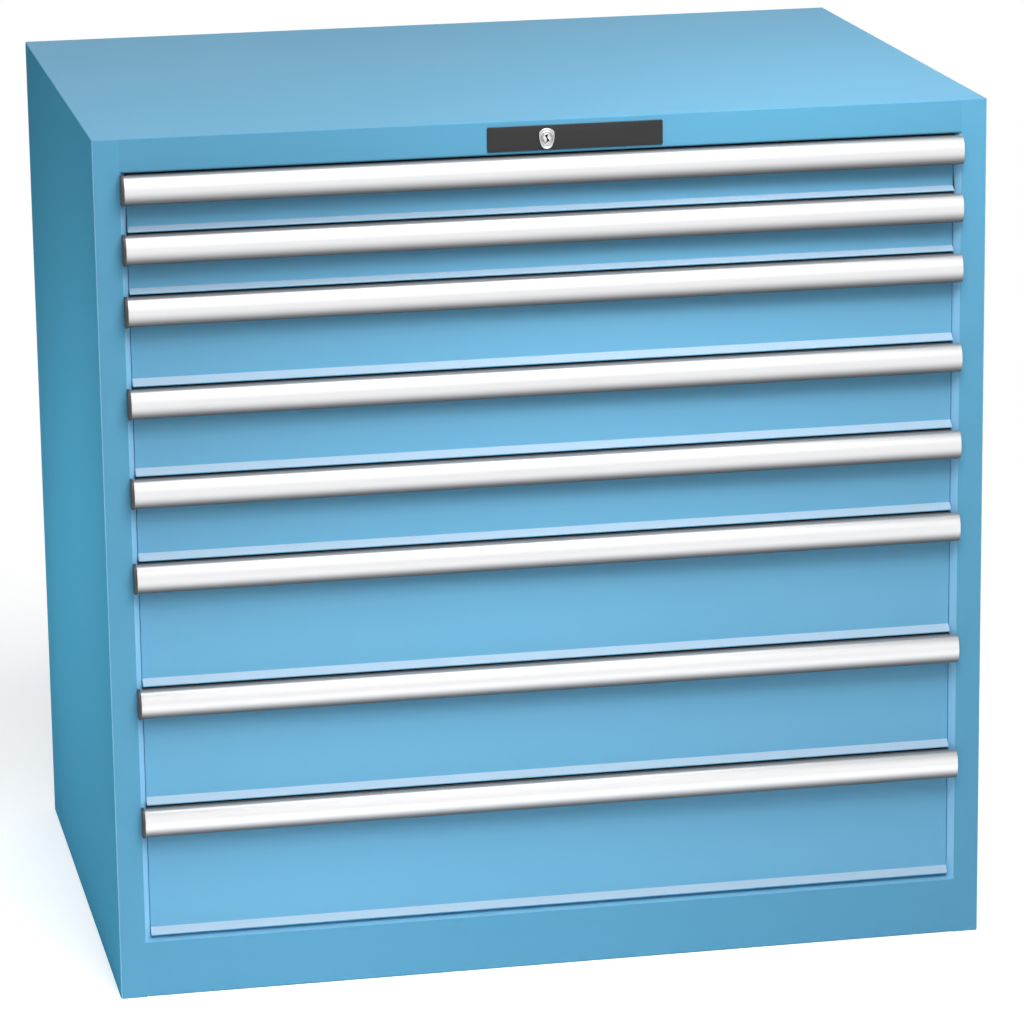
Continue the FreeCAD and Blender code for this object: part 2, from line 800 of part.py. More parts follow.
def nose(grown):
    """The bull nose of the handle from its top edge to its lower lip, grown outwards by an amount.

    A large arc about a point behind the handle runs into a smaller arc at the top and one at the lip,
    and each pair shares a tangent. Heights count from the handle's top edge.
    """
    radius = size.nose_radius + grown
    back = HANDLE_BACK - size.handle_depth + size.nose_radius
    height = -size.nose_drop
    top_span = size.nose_radius - size.top_radius
    top_rise = size.nose_drop - size.top_radius
    top_run = root(top_span * top_span - top_rise * top_rise)
    lip_span = size.nose_radius - size.lip_radius
    lip_rise = size.handle_height - size.nose_drop - size.lip_radius
    lip_run = root(lip_span * lip_span - lip_rise * lip_rise)
    top_meet = (back - top_run * radius / top_span, height + top_rise * radius / top_span)
    lip_meet = (back - lip_run * radius / lip_span, height - lip_rise * radius / lip_span)
    return [
        (back - top_run, grown, size.top_radius + grown, 1),
        top_meet + (radius, 1),
        lip_meet + (size.lip_radius + grown, 1),
        (back - lip_run, -size.handle_height - grown),
    ]


def handle(number, pitch):
    """A full-width aluminium grip, open behind its nose for the fingers, and hung from the front's seat."""
    body = new_body(f"drawer_{number}_handle")
    wall = size.handle_wall
    outside = nose(ZERO)
    inside = backwards(nose(-wall))
    leg = HANDLE_BACK - wall
    outline = [(HANDLE_BACK, ZERO)] + outside + inside
    outline += [(leg, -wall), (leg, -size.handle_seat), (HANDLE_BACK, -size.handle_seat)]
    end = OPENING_SIDE - size.cap_thickness
    pad(body, "YZ", [outline], -end, end)
    place(body, up=front_bottom(number) + pitch - size.front_gap)
    node(body)


def end_caps(number, pitch):
    """The plastic caps that close the two ends of the handle."""
    cap = new_body(f"end_cap_{number}")
    grown = size.cap_overlap
    outline = [(HANDLE_BACK, grown)] + nose(grown) + [(HANDLE_BACK, -size.handle_height - grown)]
    pad(cap, "YZ", [outline], OPENING_SIDE - size.cap_thickness, OPENING_SIDE)
    place(cap, up=front_bottom(number) + pitch - size.front_gap)
    node(group([cap, mirror(cap, cap.Label + "_left")], f"drawer_{number}_end_caps"))


# Lock

def lock_front():
    """The dark cover plate, the shield with its domed head, and the barrel that both sit round."""
    plate = new_body("lock_cover_plate")
    half_wide = size.plate_width / 2
    half_tall = size.plate_height / 2
    outline = round_rectangle(size.plate_shift - half_wide, size.plate_shift + half_wide,
                              LOCK_HEIGHT - half_tall, LOCK_HEIGHT + half_tall, size.plate_round)
    hole = circle(size.lock_shift, LOCK_HEIGHT, size.barrel_radius)
    pad(plate, "XZ", [outline, hole], PLATE_FACE, FACE)
    node(plate)

    shield = new_body("lock_shield")
    wide = size.shield_width / 2
    foot = size.shield_foot_half
    outline = [
        (foot, -size.shield_foot, size.shield_flank_radius, 1),
        (wide, size.shield_shoulder, size.shield_crown_radius, 1),
        (-wide, size.shield_shoulder, size.shield_flank_radius, 1),
        (-foot, -size.shield_foot, size.shield_foot_radius, 1),
    ]
    pad(shield, "XZ", [outline, circle(ZERO, ZERO, size.barrel_radius)], SHIELD_FACE, PLATE_FACE)
    place(shield, across=size.lock_shift, up=LOCK_HEIGHT)
    node(shield)

    barrel = new_body("lock_barrel")
    bore = size.plug_radius + size.plug_clearance
    rings = [circle(ZERO, ZERO, size.barrel_radius), circle(ZERO, ZERO, bore)]
    pad(barrel, "XZ", rings, BARREL_FACE, NEAR_PLANE - size.pin_play)
    place(barrel, across=size.lock_shift, up=LOCK_HEIGHT)
    node(barrel)


def lock_cylinder():
    """The plug that the key turns, with its stepped slot."""
    body = new_body("lock_cylinder")
    face = BARREL_FACE - size.plug_proud
    pad(body, "XZ", [circle(ZERO, ZERO, size.plug_radius)], face, NEAR_PLANE)
    near = size.key_slot_wide / 2 - size.key_slot_step
    far = size.key_slot_wide / 2 + size.key_slot_step
    tall = size.key_slot_tall / 2
    slot = [(-near, -tall), (far, -tall), (far, ZERO), (near, ZERO)]
    slot += [(near, tall), (-far, tall), (-far, ZERO), (-near, ZERO)]
    pocket(body, "XZ", [slot], face, face + size.key_slot_deep)
    place(body, across=size.lock_shift, up=LOCK_HEIGHT)
    node(body)


def turned(body, angle):
    """Turns a body about its own Y axis."""
    body.Placement = FreeCAD.Placement(FreeCAD.Vector(), FreeCAD.Rotation(FreeCAD.Vector(0, 1, 0), 1))
    body.setExpression("Placement.Rotation.Angle", angle.text)


def lock_cam():
    """The arm on the back of the plug, with the pin that drives the rod."""
    body = new_body("lock_cam")
    tip = (ZERO, size.cam_arm)
    pad(body, "XZ", [bar_outline((ZERO, ZERO), tip, size.plug_radius)], NEAR_PLANE, NEAR_PLANE_REAR)
    pad(body, "XZ", [circle(*tip, size.pin_radius)], NEAR_PLANE_REAR, FAR_PLANE_REAR)
    turned(body, -CAM_SWING)
    place(body, across=size.lock_shift, up=LOCK_HEIGHT)
    node(body)


def bell_crank():
    """The crank that turns the rod's sideways travel into the bar's lift."""
    body = new_body("bell_crank")
    hub = size.plug_radius
    centre = (ZERO, ZERO)
    drop_pin = (ZERO, -size.crank_drop)
    lift_pin = (size.crank_reach, ZERO)
    for pin in (drop_pin, lift_pin):
        pad(body, "XZ", [bar_outline(centre, pin, hub)], NEAR_PLANE, NEAR_PLANE_REAR)
        pad(body, "XZ", [circle(*pin, size.pin_radius)], NEAR_PLANE_REAR, FAR_PLANE_REAR)
    bore = circle(*centre, size.pivot_radius + size.plug_clearance)
    pocket(body, "XZ", [bore], NEAR_PLANE, NEAR_PLANE_REAR)
    turned(body, CRANK_SWING)
    place(body, across=CRANK_ACROSS, up=CRANK_HEIGHT)
    node(body)


# The bar's brackets stand beside these drawers
GUIDED_DRAWERS = (4, 6, 8)
ROD_LOW = LOCK_HEIGHT + CAM_RISE - PIN_SLOT - size.link_wall
ROD_HIGH = LOCK_HEIGHT + size.cam_arm + PIN_SLOT + size.link_wall


def transfer_rod():
    """The flat rod behind the lock rail: a slot for the cam's pin, and a slotted tail for the crank's."""
    body = new_body("transfer_rod")
    reach = PIN_SLOT + size.link_wall
    cam_pin = size.lock_shift - ROD_SHIFT
    crank_pin = CRANK_ACROSS - ROD_SHIFT
    tail_high = CRANK_HEIGHT - size.crank_drop * CRANK_SIDE + PIN_SLOT
    tail_low = CRANK_HEIGHT - size.crank_drop - PIN_SLOT
    outline = [
        (cam_pin - reach, ROD_LOW),
        (crank_pin - reach, ROD_LOW),
        (crank_pin - reach, tail_low - size.link_wall),
        (crank_pin + reach, tail_low - size.link_wall),
        (crank_pin + reach, ROD_HIGH),
        (cam_pin - reach, ROD_HIGH),
    ]
    pad(body, "XZ", [outline], FAR_PLANE, FAR_PLANE_REAR)
    slot_low = ROD_LOW + size.link_wall
    slot_high = ROD_HIGH - size.link_wall
    cam_slot = rectangle(cam_pin - PIN_SLOT, cam_pin + PIN_SLOT, slot_low, slot_high)
    tail_slot = rectangle(crank_pin - PIN_SLOT, crank_pin + PIN_SLOT, tail_low, tail_high)
    pocket(body, "XZ", [cam_slot, tail_slot], FAR_PLANE, FAR_PLANE_REAR)
    node(body)


def locking_bar():
    """The upright bar with a lug under each drawer's catch and a slotted tab for the crank."""
    body = new_body("locking_bar")
    top = CRANK_HEIGHT - BAR_SHIFT + PIN_SLOT + size.link_wall
    strip_low = front_bottom(len(PITCHES)) + size.catch_height - size.lug_height * 2
    strip = rectangle(FAR_PLANE_REAR - size.bar_width, FAR_PLANE_REAR, strip_low, top)
    pad(body, "YZ", [strip], BAR_BACK, BAR_FACE)
    lugs = []
    for number in range(1, len(PITCHES) + 1):
        high = front_bottom(number) + size.catch_height - size.lug_gap
        lugs.append(rectangle(BAR_BACK - size.lug_reach, BAR_BACK, high - size.lug_height, high))
    pad(body, "XZ", lugs, NEAR_PLANE, NEAR_PLANE_REAR)
    left = CRANK_ACROSS + size.crank_reach * CRANK_SIDE - PIN_SLOT
    right = CRANK_ACROSS + size.crank_reach + PIN_SLOT
    pin_height = CRANK_HEIGHT - BAR_SHIFT
    low = pin_height - PIN_SLOT
    high = pin_height + PIN_SLOT
    tab = rectangle(left - size.link_wall, BAR_BACK, low - size.link_wall, high + size.link_wall)
    pad(body, "XZ", [tab, rectangle(left, right, low, high)], FAR_PLANE, FAR_PLANE_REAR)
    node(body)


def lock_guides():
    """The brackets that keep the bar and the rod in line, and the pivot pin of the crank."""
    pieces = []
    play = size.guide_play
    wall = size.link_wall
    bar_front = FAR_PLANE_REAR - size.bar_width
    around_bar = rectangle(BAR_BACK - play, BAR_FACE + play, bar_front - play, FAR_PLANE_REAR + play)
    plate = rectangle(BAR_BACK - wall, INNER_SIDE, bar_front - wall, FAR_PLANE_REAR + wall)
    for number in GUIDED_DRAWERS:
        body = new_body(f"bar_guide_{number}")
        low = front_bottom(number) + size.guide_rise
        pad(body, "XY", [plate, around_bar], low, low + size.link_sheet)
        pieces.append(body)
    hanger = rectangle(FACE + size.housing_sheet, FAR_PLANE_REAR + wall, ROD_LOW - wall, ROD_HIGH + wall)
    around_rod = rectangle(FAR_PLANE - play, FAR_PLANE_REAR + play, ROD_LOW - play, ROD_HIGH + play)
    for across in (size.rod_guide_near, size.rod_guide_far):
        body = new_body(f"rod_guide_{len(pieces)}")
        pad(body, "YZ", [hanger, around_rod], across, across + size.link_sheet)
        pieces.append(body)
    pivot = new_body("crank_pivot")
    pin = circle(CRANK_ACROSS, CRANK_HEIGHT, size.pivot_radius)
    pad(pivot, "XZ", [pin], FACE + size.housing_sheet, NEAR_PLANE_REAR)
    pieces.append(pivot)
    node(group(pieces, "lock_guides"))


side_panel()
plinth_rail()
lock_rail()
sheets()
uprights()
cabinet_rails()
for number, pitch in enumerate(PITCHES, start=1):
    drawer_box(number, pitch)
    drawer_front(number, pitch)
    handle(number, pitch)
    end_caps(number, pitch)
    middle_rails(number)
lock_front()
lock_cylinder()
lock_cam()
bell_crank()
transfer_rod()
locking_bar()
lock_guides()
doc.recompute()

for item in doc.Objects:
    if "Invalid" in item.State or "Error" in item.State:
        raise RuntimeError(f"{item.Label} failed: {item.State}")

os.makedirs("parts", exist_ok=True)
for item in nodes:
    if item.Shape.isNull() or not item.Shape.isValid():
        raise RuntimeError(f"{item.Label} has no valid shape")
    item.Shape.exportStep(f"parts/{item.Label}.step")
print(f"{len(nodes)} nodes, height {float(HEIGHT):.2f} mm")
travels = {"rod travel": ROD_SHIFT * 2, "crank turn": CRANK_SWING * 2, "bar lift": BAR_SHIFT * 2}
for name, length in travels.items():
    print(f"{name} {float(length):.4f}")
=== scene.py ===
import math

import bmesh
import bpy
import numpy as np
from mathutils import Matrix, Vector


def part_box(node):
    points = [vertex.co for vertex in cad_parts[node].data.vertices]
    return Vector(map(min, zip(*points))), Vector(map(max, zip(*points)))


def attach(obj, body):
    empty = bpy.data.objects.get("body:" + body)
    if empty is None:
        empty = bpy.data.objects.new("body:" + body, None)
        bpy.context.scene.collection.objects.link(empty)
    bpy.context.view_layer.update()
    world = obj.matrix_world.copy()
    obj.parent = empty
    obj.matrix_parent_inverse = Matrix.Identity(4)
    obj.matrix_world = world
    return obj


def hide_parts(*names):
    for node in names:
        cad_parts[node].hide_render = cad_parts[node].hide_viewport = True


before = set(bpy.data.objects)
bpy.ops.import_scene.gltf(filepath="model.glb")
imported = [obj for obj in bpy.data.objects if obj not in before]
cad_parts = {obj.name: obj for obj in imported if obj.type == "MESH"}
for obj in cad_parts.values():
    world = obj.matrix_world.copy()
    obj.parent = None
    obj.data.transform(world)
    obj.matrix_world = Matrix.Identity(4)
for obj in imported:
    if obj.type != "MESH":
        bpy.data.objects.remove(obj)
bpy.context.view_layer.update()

bl_info = {
    "name": "Modular drawer cabinet",
    "version": (1, 0, 0),
    "blender": (4, 5, 0),
    "location": "3D View > Sidebar > Cabinet",
    "description": "Dresses the packed frame of a steel drawer cabinet with its finishes, grips, lock and studio",
    "category": "Object",
}

DRAWERS = range(1, 9)


# Sizes and colours that a user would change

def length(name, description, default):
    return bpy.props.FloatProperty(name=name, description=description, default=default, min=0, unit="LENGTH",
                                   precision=5)


def angle(name, description, default):
    return bpy.props.FloatProperty(name=name, description=description, default=default, unit="ROTATION")


def colour(name, description, default):
    return bpy.props.FloatVectorProperty(name=name, description=description, default=default, size=3, min=0,
                                         max=1, subtype="COLOR")


def amount(name, description, default):
    return bpy.props.FloatProperty(name=name, description=description, default=default, min=0)


class CabinetSizes(bpy.types.PropertyGroup):
    """Sizes of the folded fronts and of the drawn grips."""

    housing_sheet: length("Housing sheet", "Thickness of the housing's sheets", 0.0015)
    housing_bend: length("Housing bend", "Radius inside the bends of the walls", 0.001)
    top_rounding: length("Top rounding", "Radius of the walls' top edges", 0.0012)
    post_width: length("Post width", "Width of the posts beside the opening", 0.03)
    rear_flange: length("Rear flange", "Depth of the walls' flanges behind", 0.02)
    foot_flange: length("Foot flange", "Width of the flanges that the walls stand on", 0.025)
    reveal_width: length("Reveal width", "Width of the slope round the opening", 0.0065)
    reveal_return: length("Reveal return", "Depth of the opening's edge behind the slope", 0.012)
    front_sheet: length("Front sheet", "Thickness of the folded drawer fronts", 0.00125)
    fold_radius: length("Fold radius", "Radius inside each fold of a front", 0.0006)
    front_reach: length("Front reach", "How far the coat of a front's ends narrows the gap beside it", 0.0004)
    front_recess: length("Front recess", "How far the flat of a front lies behind the posts", 0.008)
    grip_seat: length("Grip seat", "Height of the step of a front that carries its grip", 0.012)
    ledge_lip: length("Ledge lip", "How far the foot of the ledge stays behind the posts", 0.001)
    # Painted shadow: the dark strip along the top of each front stands in for the shade in the gap above each grip
    shadow_strip_depth: length("Strip depth", "Depth of the sealing strip along the top of a front", 0.009)
    grip_wall: length("Grip wall", "Thickness of the drawn grip", 0.002)
    nose_radius: length("Nose radius", "Radius of the broad front of the grip", 0.028)
    nose_drop: length("Nose drop", "Height of the nose's centre under the grip's top edge", 0.0175)
    top_radius: length("Top radius", "Radius between the nose and the grip's flat top", 0.007)
    lip_radius: length("Lip radius", "Radius that turns the nose in at its lower lip", 0.004)
    cap_rounding: length("Cap rounding", "Radius round the outer edge of an end cap", 0.0008)
    plate_corner: length("Plate corner", "Radius of the cover plate's corners", 0.0015)
    plate_edge: length("Plate edge", "Radius round the edges of the plate, barrel and plug", 0.0004)
    shield_half: length("Shield half width", "Half the shield's width at its shoulders", 0.0084)
    shield_shoulder: length("Shield shoulder", "Height of the shoulders above the lock's axis", 0.0069)
    shield_crown: length("Shield crown", "Radius of the shield's domed head", 0.0108)
    shield_flank: length("Shield flank", "Radius of the shield's sides", 0.0267)
    shield_foot: length("Shield foot", "Depth below the axis at which the foot begins", 0.0088)
    shield_foot_half: length("Shield foot half width", "Half the width at which the foot begins", 0.0063)
    shield_toe: length("Shield toe", "Radius of the shield's foot", 0.00693)
    shield_edge: length("Shield edge", "Radius round the shield's edge", 0.0006)
    shield_sunk: length("Shield groove", "Depth of the groove inside the shield's rim", 0.0005)
    plug_radius: length("Plug radius", "Radius of the plug that the key turns", 0.005)
    keyway_tall: length("Keyway height", "Height of the keyway", 0.009)
    keyway_half: length("Keyway half width", "Half the width of the keyway where it is widest", 0.0016)
    keyway_sway: length("Keyway sway", "How far the keyway's middle sways to each side", 0.0009)
    keyway_deep: length("Keyway depth", "Depth of the keyway", 0.008)


class CabinetColours(bpy.types.PropertyGroup):
    """Base colours of the finishes."""

    # Painted shade: the fronts' blue painted darker, for the shade that falls on the frame, top and plinth
    coat: colour("Housing coat", "Powder coat of the housing", (0.118, 0.375, 0.575))
    front_coat: colour("Front coat", "Powder coat of the drawer fronts", (0.165, 0.45, 0.68))
    # Painted highlight: the sloped ledges are painted paler than the fronts, for the light that falls on them as they
    # face upwards
    ledge_coat: colour("Ledge coat", "Coat of the sloped ledges", (0.37, 0.515, 0.65))
    # Painted light: the slopes round the opening and the middle of the posts' bends are painted paler than the housing,
    # for the light they catch
    reveal_coat: colour("Reveal coat", "Coat of the slopes at the sides of the opening", (0.29, 0.62, 0.89))
    # Painted light: the slope at the foot of the opening is painted paler than the housing, for the light that falls on
    # it from above
    slope_painted_light_coat: colour("Slope coat", "Coat of the slope at the foot of the opening", (0.155, 0.41, 0.61))
    # Painted shade: a more saturated copy of the housing's blue, for the shade on the side walls
    side_shade_coat: colour("Side coat", "Coat of the side walls", (0.092, 0.41, 0.63))
    box_coat: colour("Box coat", "Powder coat of the drawer boxes", (0.42, 0.45, 0.47))
    grip: colour("Grip", "Anodised aluminium of the grips", (0.86, 0.86, 0.87))
    # Painted shade and reflection: the dark tone that the grip is painted towards its lower lip and its flat top
    grip_painted_shade: colour("Grip foot", "The grip where it turns in at its lower lip", (0.10, 0.105, 0.11))
    # Painted shadow: dark colour of the strip that stands in for the shade in the gap above each grip
    strip: colour("Strip", "Sealing strip along the top of a front", (0.045, 0.05, 0.054))
    cap: colour("Cap", "Moulded end caps", (0.058, 0.057, 0.056))
    plate: colour("Plate", "Cover plate of the lock", (0.018, 0.018, 0.019))
    nickel: colour("Nickel", "Shield and lock barrel", (0.80, 0.80, 0.81))
    zinc: colour("Zinc", "Runners, uprights and lock linkage", (0.60, 0.62, 0.64))


class CabinetStudio(bpy.types.PropertyGroup):
    """Camera and lamps."""

    lens: bpy.props.FloatProperty(name="Lens", description="Focal length on a 36 mm sensor", default=167.67,
                                  min=1)
    camera_place: bpy.props.FloatVectorProperty(name="Camera place", description="Where the camera stands",
                                                default=(-1.0651, -5.5169, 1.9129), subtype="TRANSLATION")
    camera_turn: angle("Camera turn", "Turn to the right of straight back", 0.1949)
    camera_tilt: angle("Camera tilt", "Tilt below level", 0.2536)
    camera_roll: angle("Camera roll", "Roll of the picture", -0.0133)
    sky: amount("Sky light", "Strength of the even light from all round", 0.09)
    overhead: amount("Overhead lamp", "Power of the soft lamp above", 16)
    high: amount("High lamp", "Power of the soft lamp above and before the front", 74)
    key: amount("Key lamp", "Power of the soft lamp in front", 36)
    band: amount("Band lamp", "Power of the slanting strip lamp above the front", 1.6)
    fill: amount("Fill lamp", "Power of the soft lamp on the left", 13)
    strip: amount("Side strip", "Power of the slanting strip lamp beside the left wall", 1.35)
    rear: amount("Rear lamp", "Power of the low soft lamp behind", 70)


# Outlines in the plane of a cross-section, as arrays of points

def arc(centre, radius, start, end, steps=8):
    """Points on a circle: the centre plus the radius times the cosine and sine of an angle that runs evenly
    from start to end, in degrees."""
    turn = np.radians(np.linspace(start, end, steps + 1))
    return np.stack([centre[0] + radius * np.cos(turn), centre[1] + radius * np.sin(turn)], axis=1)


def softened(corners, radii, steps=6):
    """A closed outline whose corners are rounded.

    At a corner the arc's centre lies on the bisector, at the radius over the sine of half the angle between
    the two sides, and the arc touches both sides at the radius over the tangent of that half angle.
    """
    corners = np.asarray(corners, float)
    to_last = np.roll(corners, 1, axis=0) - corners
    to_next = np.roll(corners, -1, axis=0) - corners
    to_last /= np.linalg.norm(to_last, axis=1)[:, None]
    to_next /= np.linalg.norm(to_next, axis=1)[:, None]
    half = np.arccos(np.clip((to_last * to_next).sum(axis=1), -1, 1)) / 2
    radii = np.broadcast_to(np.asarray(radii, float), half.shape)
    bisector = to_last + to_next
    bisector /= np.linalg.norm(bisector, axis=1)[:, None]
    centre = corners + bisector * (radii / np.sin(half))[:, None]
    reach = (radii / np.tan(half))[:, None]
    first = corners + to_last * reach - centre
    last = corners + to_next * reach - centre
    sweep = np.pi - 2 * half
    share = np.linspace(0, 1, steps + 1)[None, :, None]
    span = sweep[:, None, None]
    arcs = (first[:, None] * np.sin((1 - share) * span) + last[:, None] * np.sin(share * span)) / np.sin(span)
    return (centre[:, None] + arcs).reshape(-1, 2)


def outward(outline):
    """Unit normals of a closed outline that runs anticlockwise, each the mean of its two sides' normals."""
    ahead = np.roll(outline, -1, axis=0) - outline
    ahead /= np.maximum(np.linalg.norm(ahead, axis=1), 1e-12)[:, None]
    side = np.stack([ahead[:, 1], -ahead[:, 0]], axis=1)
    mean = side + np.roll(side, 1, axis=0)
    return mean / np.maximum(np.linalg.norm(mean, axis=1), 1e-12)[:, None]


def grow(outline, by):
    """The outline moved outwards along its normals."""
    return outline + outward(outline) * by


def anticlockwise(outline):
    """The same outline, turned round if it runs clockwise."""
    after = np.roll(outline, -1, axis=0)
    area = (outline[:, 0] * after[:, 1] - after[:, 0] * outline[:, 1]).sum()
    return outline if area > 0 else outline[::-1]


# Surfaces, as grids of points that are gathered into one mesh

class Surface:
    """Gathers grids of points and their faces until they become one object."""

    def __init__(self):
        self.points = []
        self.faces = []
        self.marks = []
        self.count = 0

    def grid(self, points, wrap=False, close=(False, False), flip=False, mark=0):
        """Joins a grid of rows and columns of points with four-sided faces.

        wrap joins the last column to the first. close puts one face across the first or the last row.
        """
        rows, columns = points.shape[:2]
        numbers = np.arange(rows * columns).reshape(rows, columns) + self.count
        if wrap:
            numbers = np.concatenate([numbers, numbers[:, :1]], axis=1)
        quads = np.stack([numbers[:-1, :-1], numbers[:-1, 1:], numbers[1:, 1:], numbers[1:, :-1]], axis=-1)
        quads = quads.reshape(-1, 4)
        made = (quads[:, ::-1] if flip else quads).tolist()
        if close[0]:
            made.append((numbers[0, :columns] if flip else numbers[0, :columns][::-1]).tolist())
        if close[1]:
            made.append((numbers[-1, :columns][::-1] if flip else numbers[-1, :columns]).tolist())
        self.points.append(points.reshape(-1, 3))
        self.faces += made
        self.marks += [mark] * len(made)
        self.count += rows * columns
        return self

    def piece(self, name, finishes, sharp=35.0):
        """Makes the object, with its place in its mesh and creases wherever faces meet more steeply."""
        mesh = bpy.data.meshes.new(name)
        mesh.from_pydata(np.concatenate(self.points).tolist(), [], self.faces)
        for finish in finishes:
            mesh.materials.append(finish)
        mesh.polygons.foreach_set("material_index", np.array(self.marks, np.int32))
        mesh.polygons.foreach_set("use_smooth", np.ones(len(mesh.polygons), bool))
        mesh.set_sharp_from_angle(angle=math.radians(sharp))
        mesh.validate()
        mesh.update()
        made = bpy.data.objects.new(name, mesh)
        bpy.context.scene.collection.objects.link(made)
        return made


def merge_seams(item):
    """Joins the rows that two grids share, so that the surface is closed."""
    work = bmesh.new()
    work.from_mesh(item.data)
    bmesh.ops.remove_doubles(work, verts=work.verts, dist=1e-7)
    work.to_mesh(item.data)
    work.free()
    item.data.update()


def across(outline, stations, growth=None):
    """A profile of (back, up) points carried along X: one row of points at each station, grown by its share."""
    outline = anticlockwise(outline)
    growth = np.zeros(len(stations)) if growth is None else np.asarray(growth, float)
    side = outward(outline)
    flat = outline[None] + side[None] * growth[:, None, None]
    rows = np.broadcast_to(np.asarray(stations, float)[:, None, None], flat.shape[:2] + (1,))
    return np.concatenate([rows, flat], axis=2)


def facing(outline, stations, growth=None):
    """A profile of (across, up) points carried along Y: one row at each station, grown by its share."""
    rows = across(outline, stations, growth)
    return rows[..., [1, 0, 2]]


def divided(outline, step):
    """The closed outline with points added so that none of its sides is longer than a step."""
    parts = []
    for start, end in zip(outline, np.roll(outline, -1, axis=0)):
        count = max(1, math.ceil(np.linalg.norm(end - start) / step))
        parts.append(start + (end - start) * np.arange(count)[:, None] / count)
    return np.concatenate(parts)


def swept(start, end, radius, steps=8):
    """An arc from one point to another with its centre on the left of the way.

    The centre lies off the middle of the chord by the root of the radius squared less half the chord squared.
    """
    start = np.array(start, float)
    end = np.array(end, float)
    half = np.linalg.norm(end - start) / 2
    left = np.array([start[1] - end[1], end[0] - start[0]]) / (2 * half)
    centre = (start + end) / 2 + left * math.sqrt(radius ** 2 - half ** 2)
    first = math.degrees(math.atan2(*(start - centre)[::-1]))
    last = math.degrees(math.atan2(*(end - centre)[::-1]))
    return arc(centre, radius, first, last + 360 * (last < first), steps)


def circle_facing(outline, centre, radius):
    """The points of a circle in the same directions from its centre as the points of an outline."""
    way = outline - centre
    return centre + radius * way / np.linalg.norm(way, axis=1)[:, None]


def between(outer, inner, steps):
    """Rows that lead from an outer outline to an inner one of as many points, carried along Y.

    Each step gives a share, an inset and a place along Y: the row's points lie at that share of the way from the
    outer outline, drawn in by the inset, to the inner one.
    """
    share, inset, along = (column[:, None, None] for column in np.array(steps, float).T)
    flat = (outer - outward(outer) * inset) * (1 - share) + inner * share
    return np.concatenate([flat[..., :1], np.broadcast_to(along, flat.shape[:2] + (1,)), flat[..., 1:]], axis=2)


def rounded_rim(face, rear, radius, steps=4):
    """The first steps of such rows: from the rear to the face, with the edge rounded over a quarter of a circle."""
    turn = np.linspace(0, np.pi / 2, steps + 1)
    rim = np.stack([np.zeros(steps + 1), radius * (1 - np.cos(turn)), face + radius * (1 - np.sin(turn))], axis=1)
    return [(0, 0, rear)] + rim.tolist()


def lathed(centre, profile, around=64):
    """A profile of (radius, along) points turned about an axis along Y through a centre of (across, up)."""
    turn = np.linspace(0, 2 * np.pi, around, endpoint=False)
    profile = np.asarray(profile, float)
    across_axis = centre[0] + profile[:, :1] * np.cos(turn)
    up_axis = centre[1] + profile[:, :1] * np.sin(turn)
    return np.stack([across_axis, np.broadcast_to(profile[:, 1:], across_axis.shape), up_axis], axis=2)


def round_over(start, end, radius, steps=4):
    """Stations and growths that round the edge of a carried profile at its end, over a quarter of a circle."""
    turn = np.linspace(0, np.pi / 2, steps + 1)
    way = math.copysign(1, end - start)
    stations = np.concatenate([[start], end - way * radius * (1 - np.sin(turn))])
    growth = np.concatenate([[0], radius * (np.cos(turn) - 1)])
    return stations, growth


# Finishes

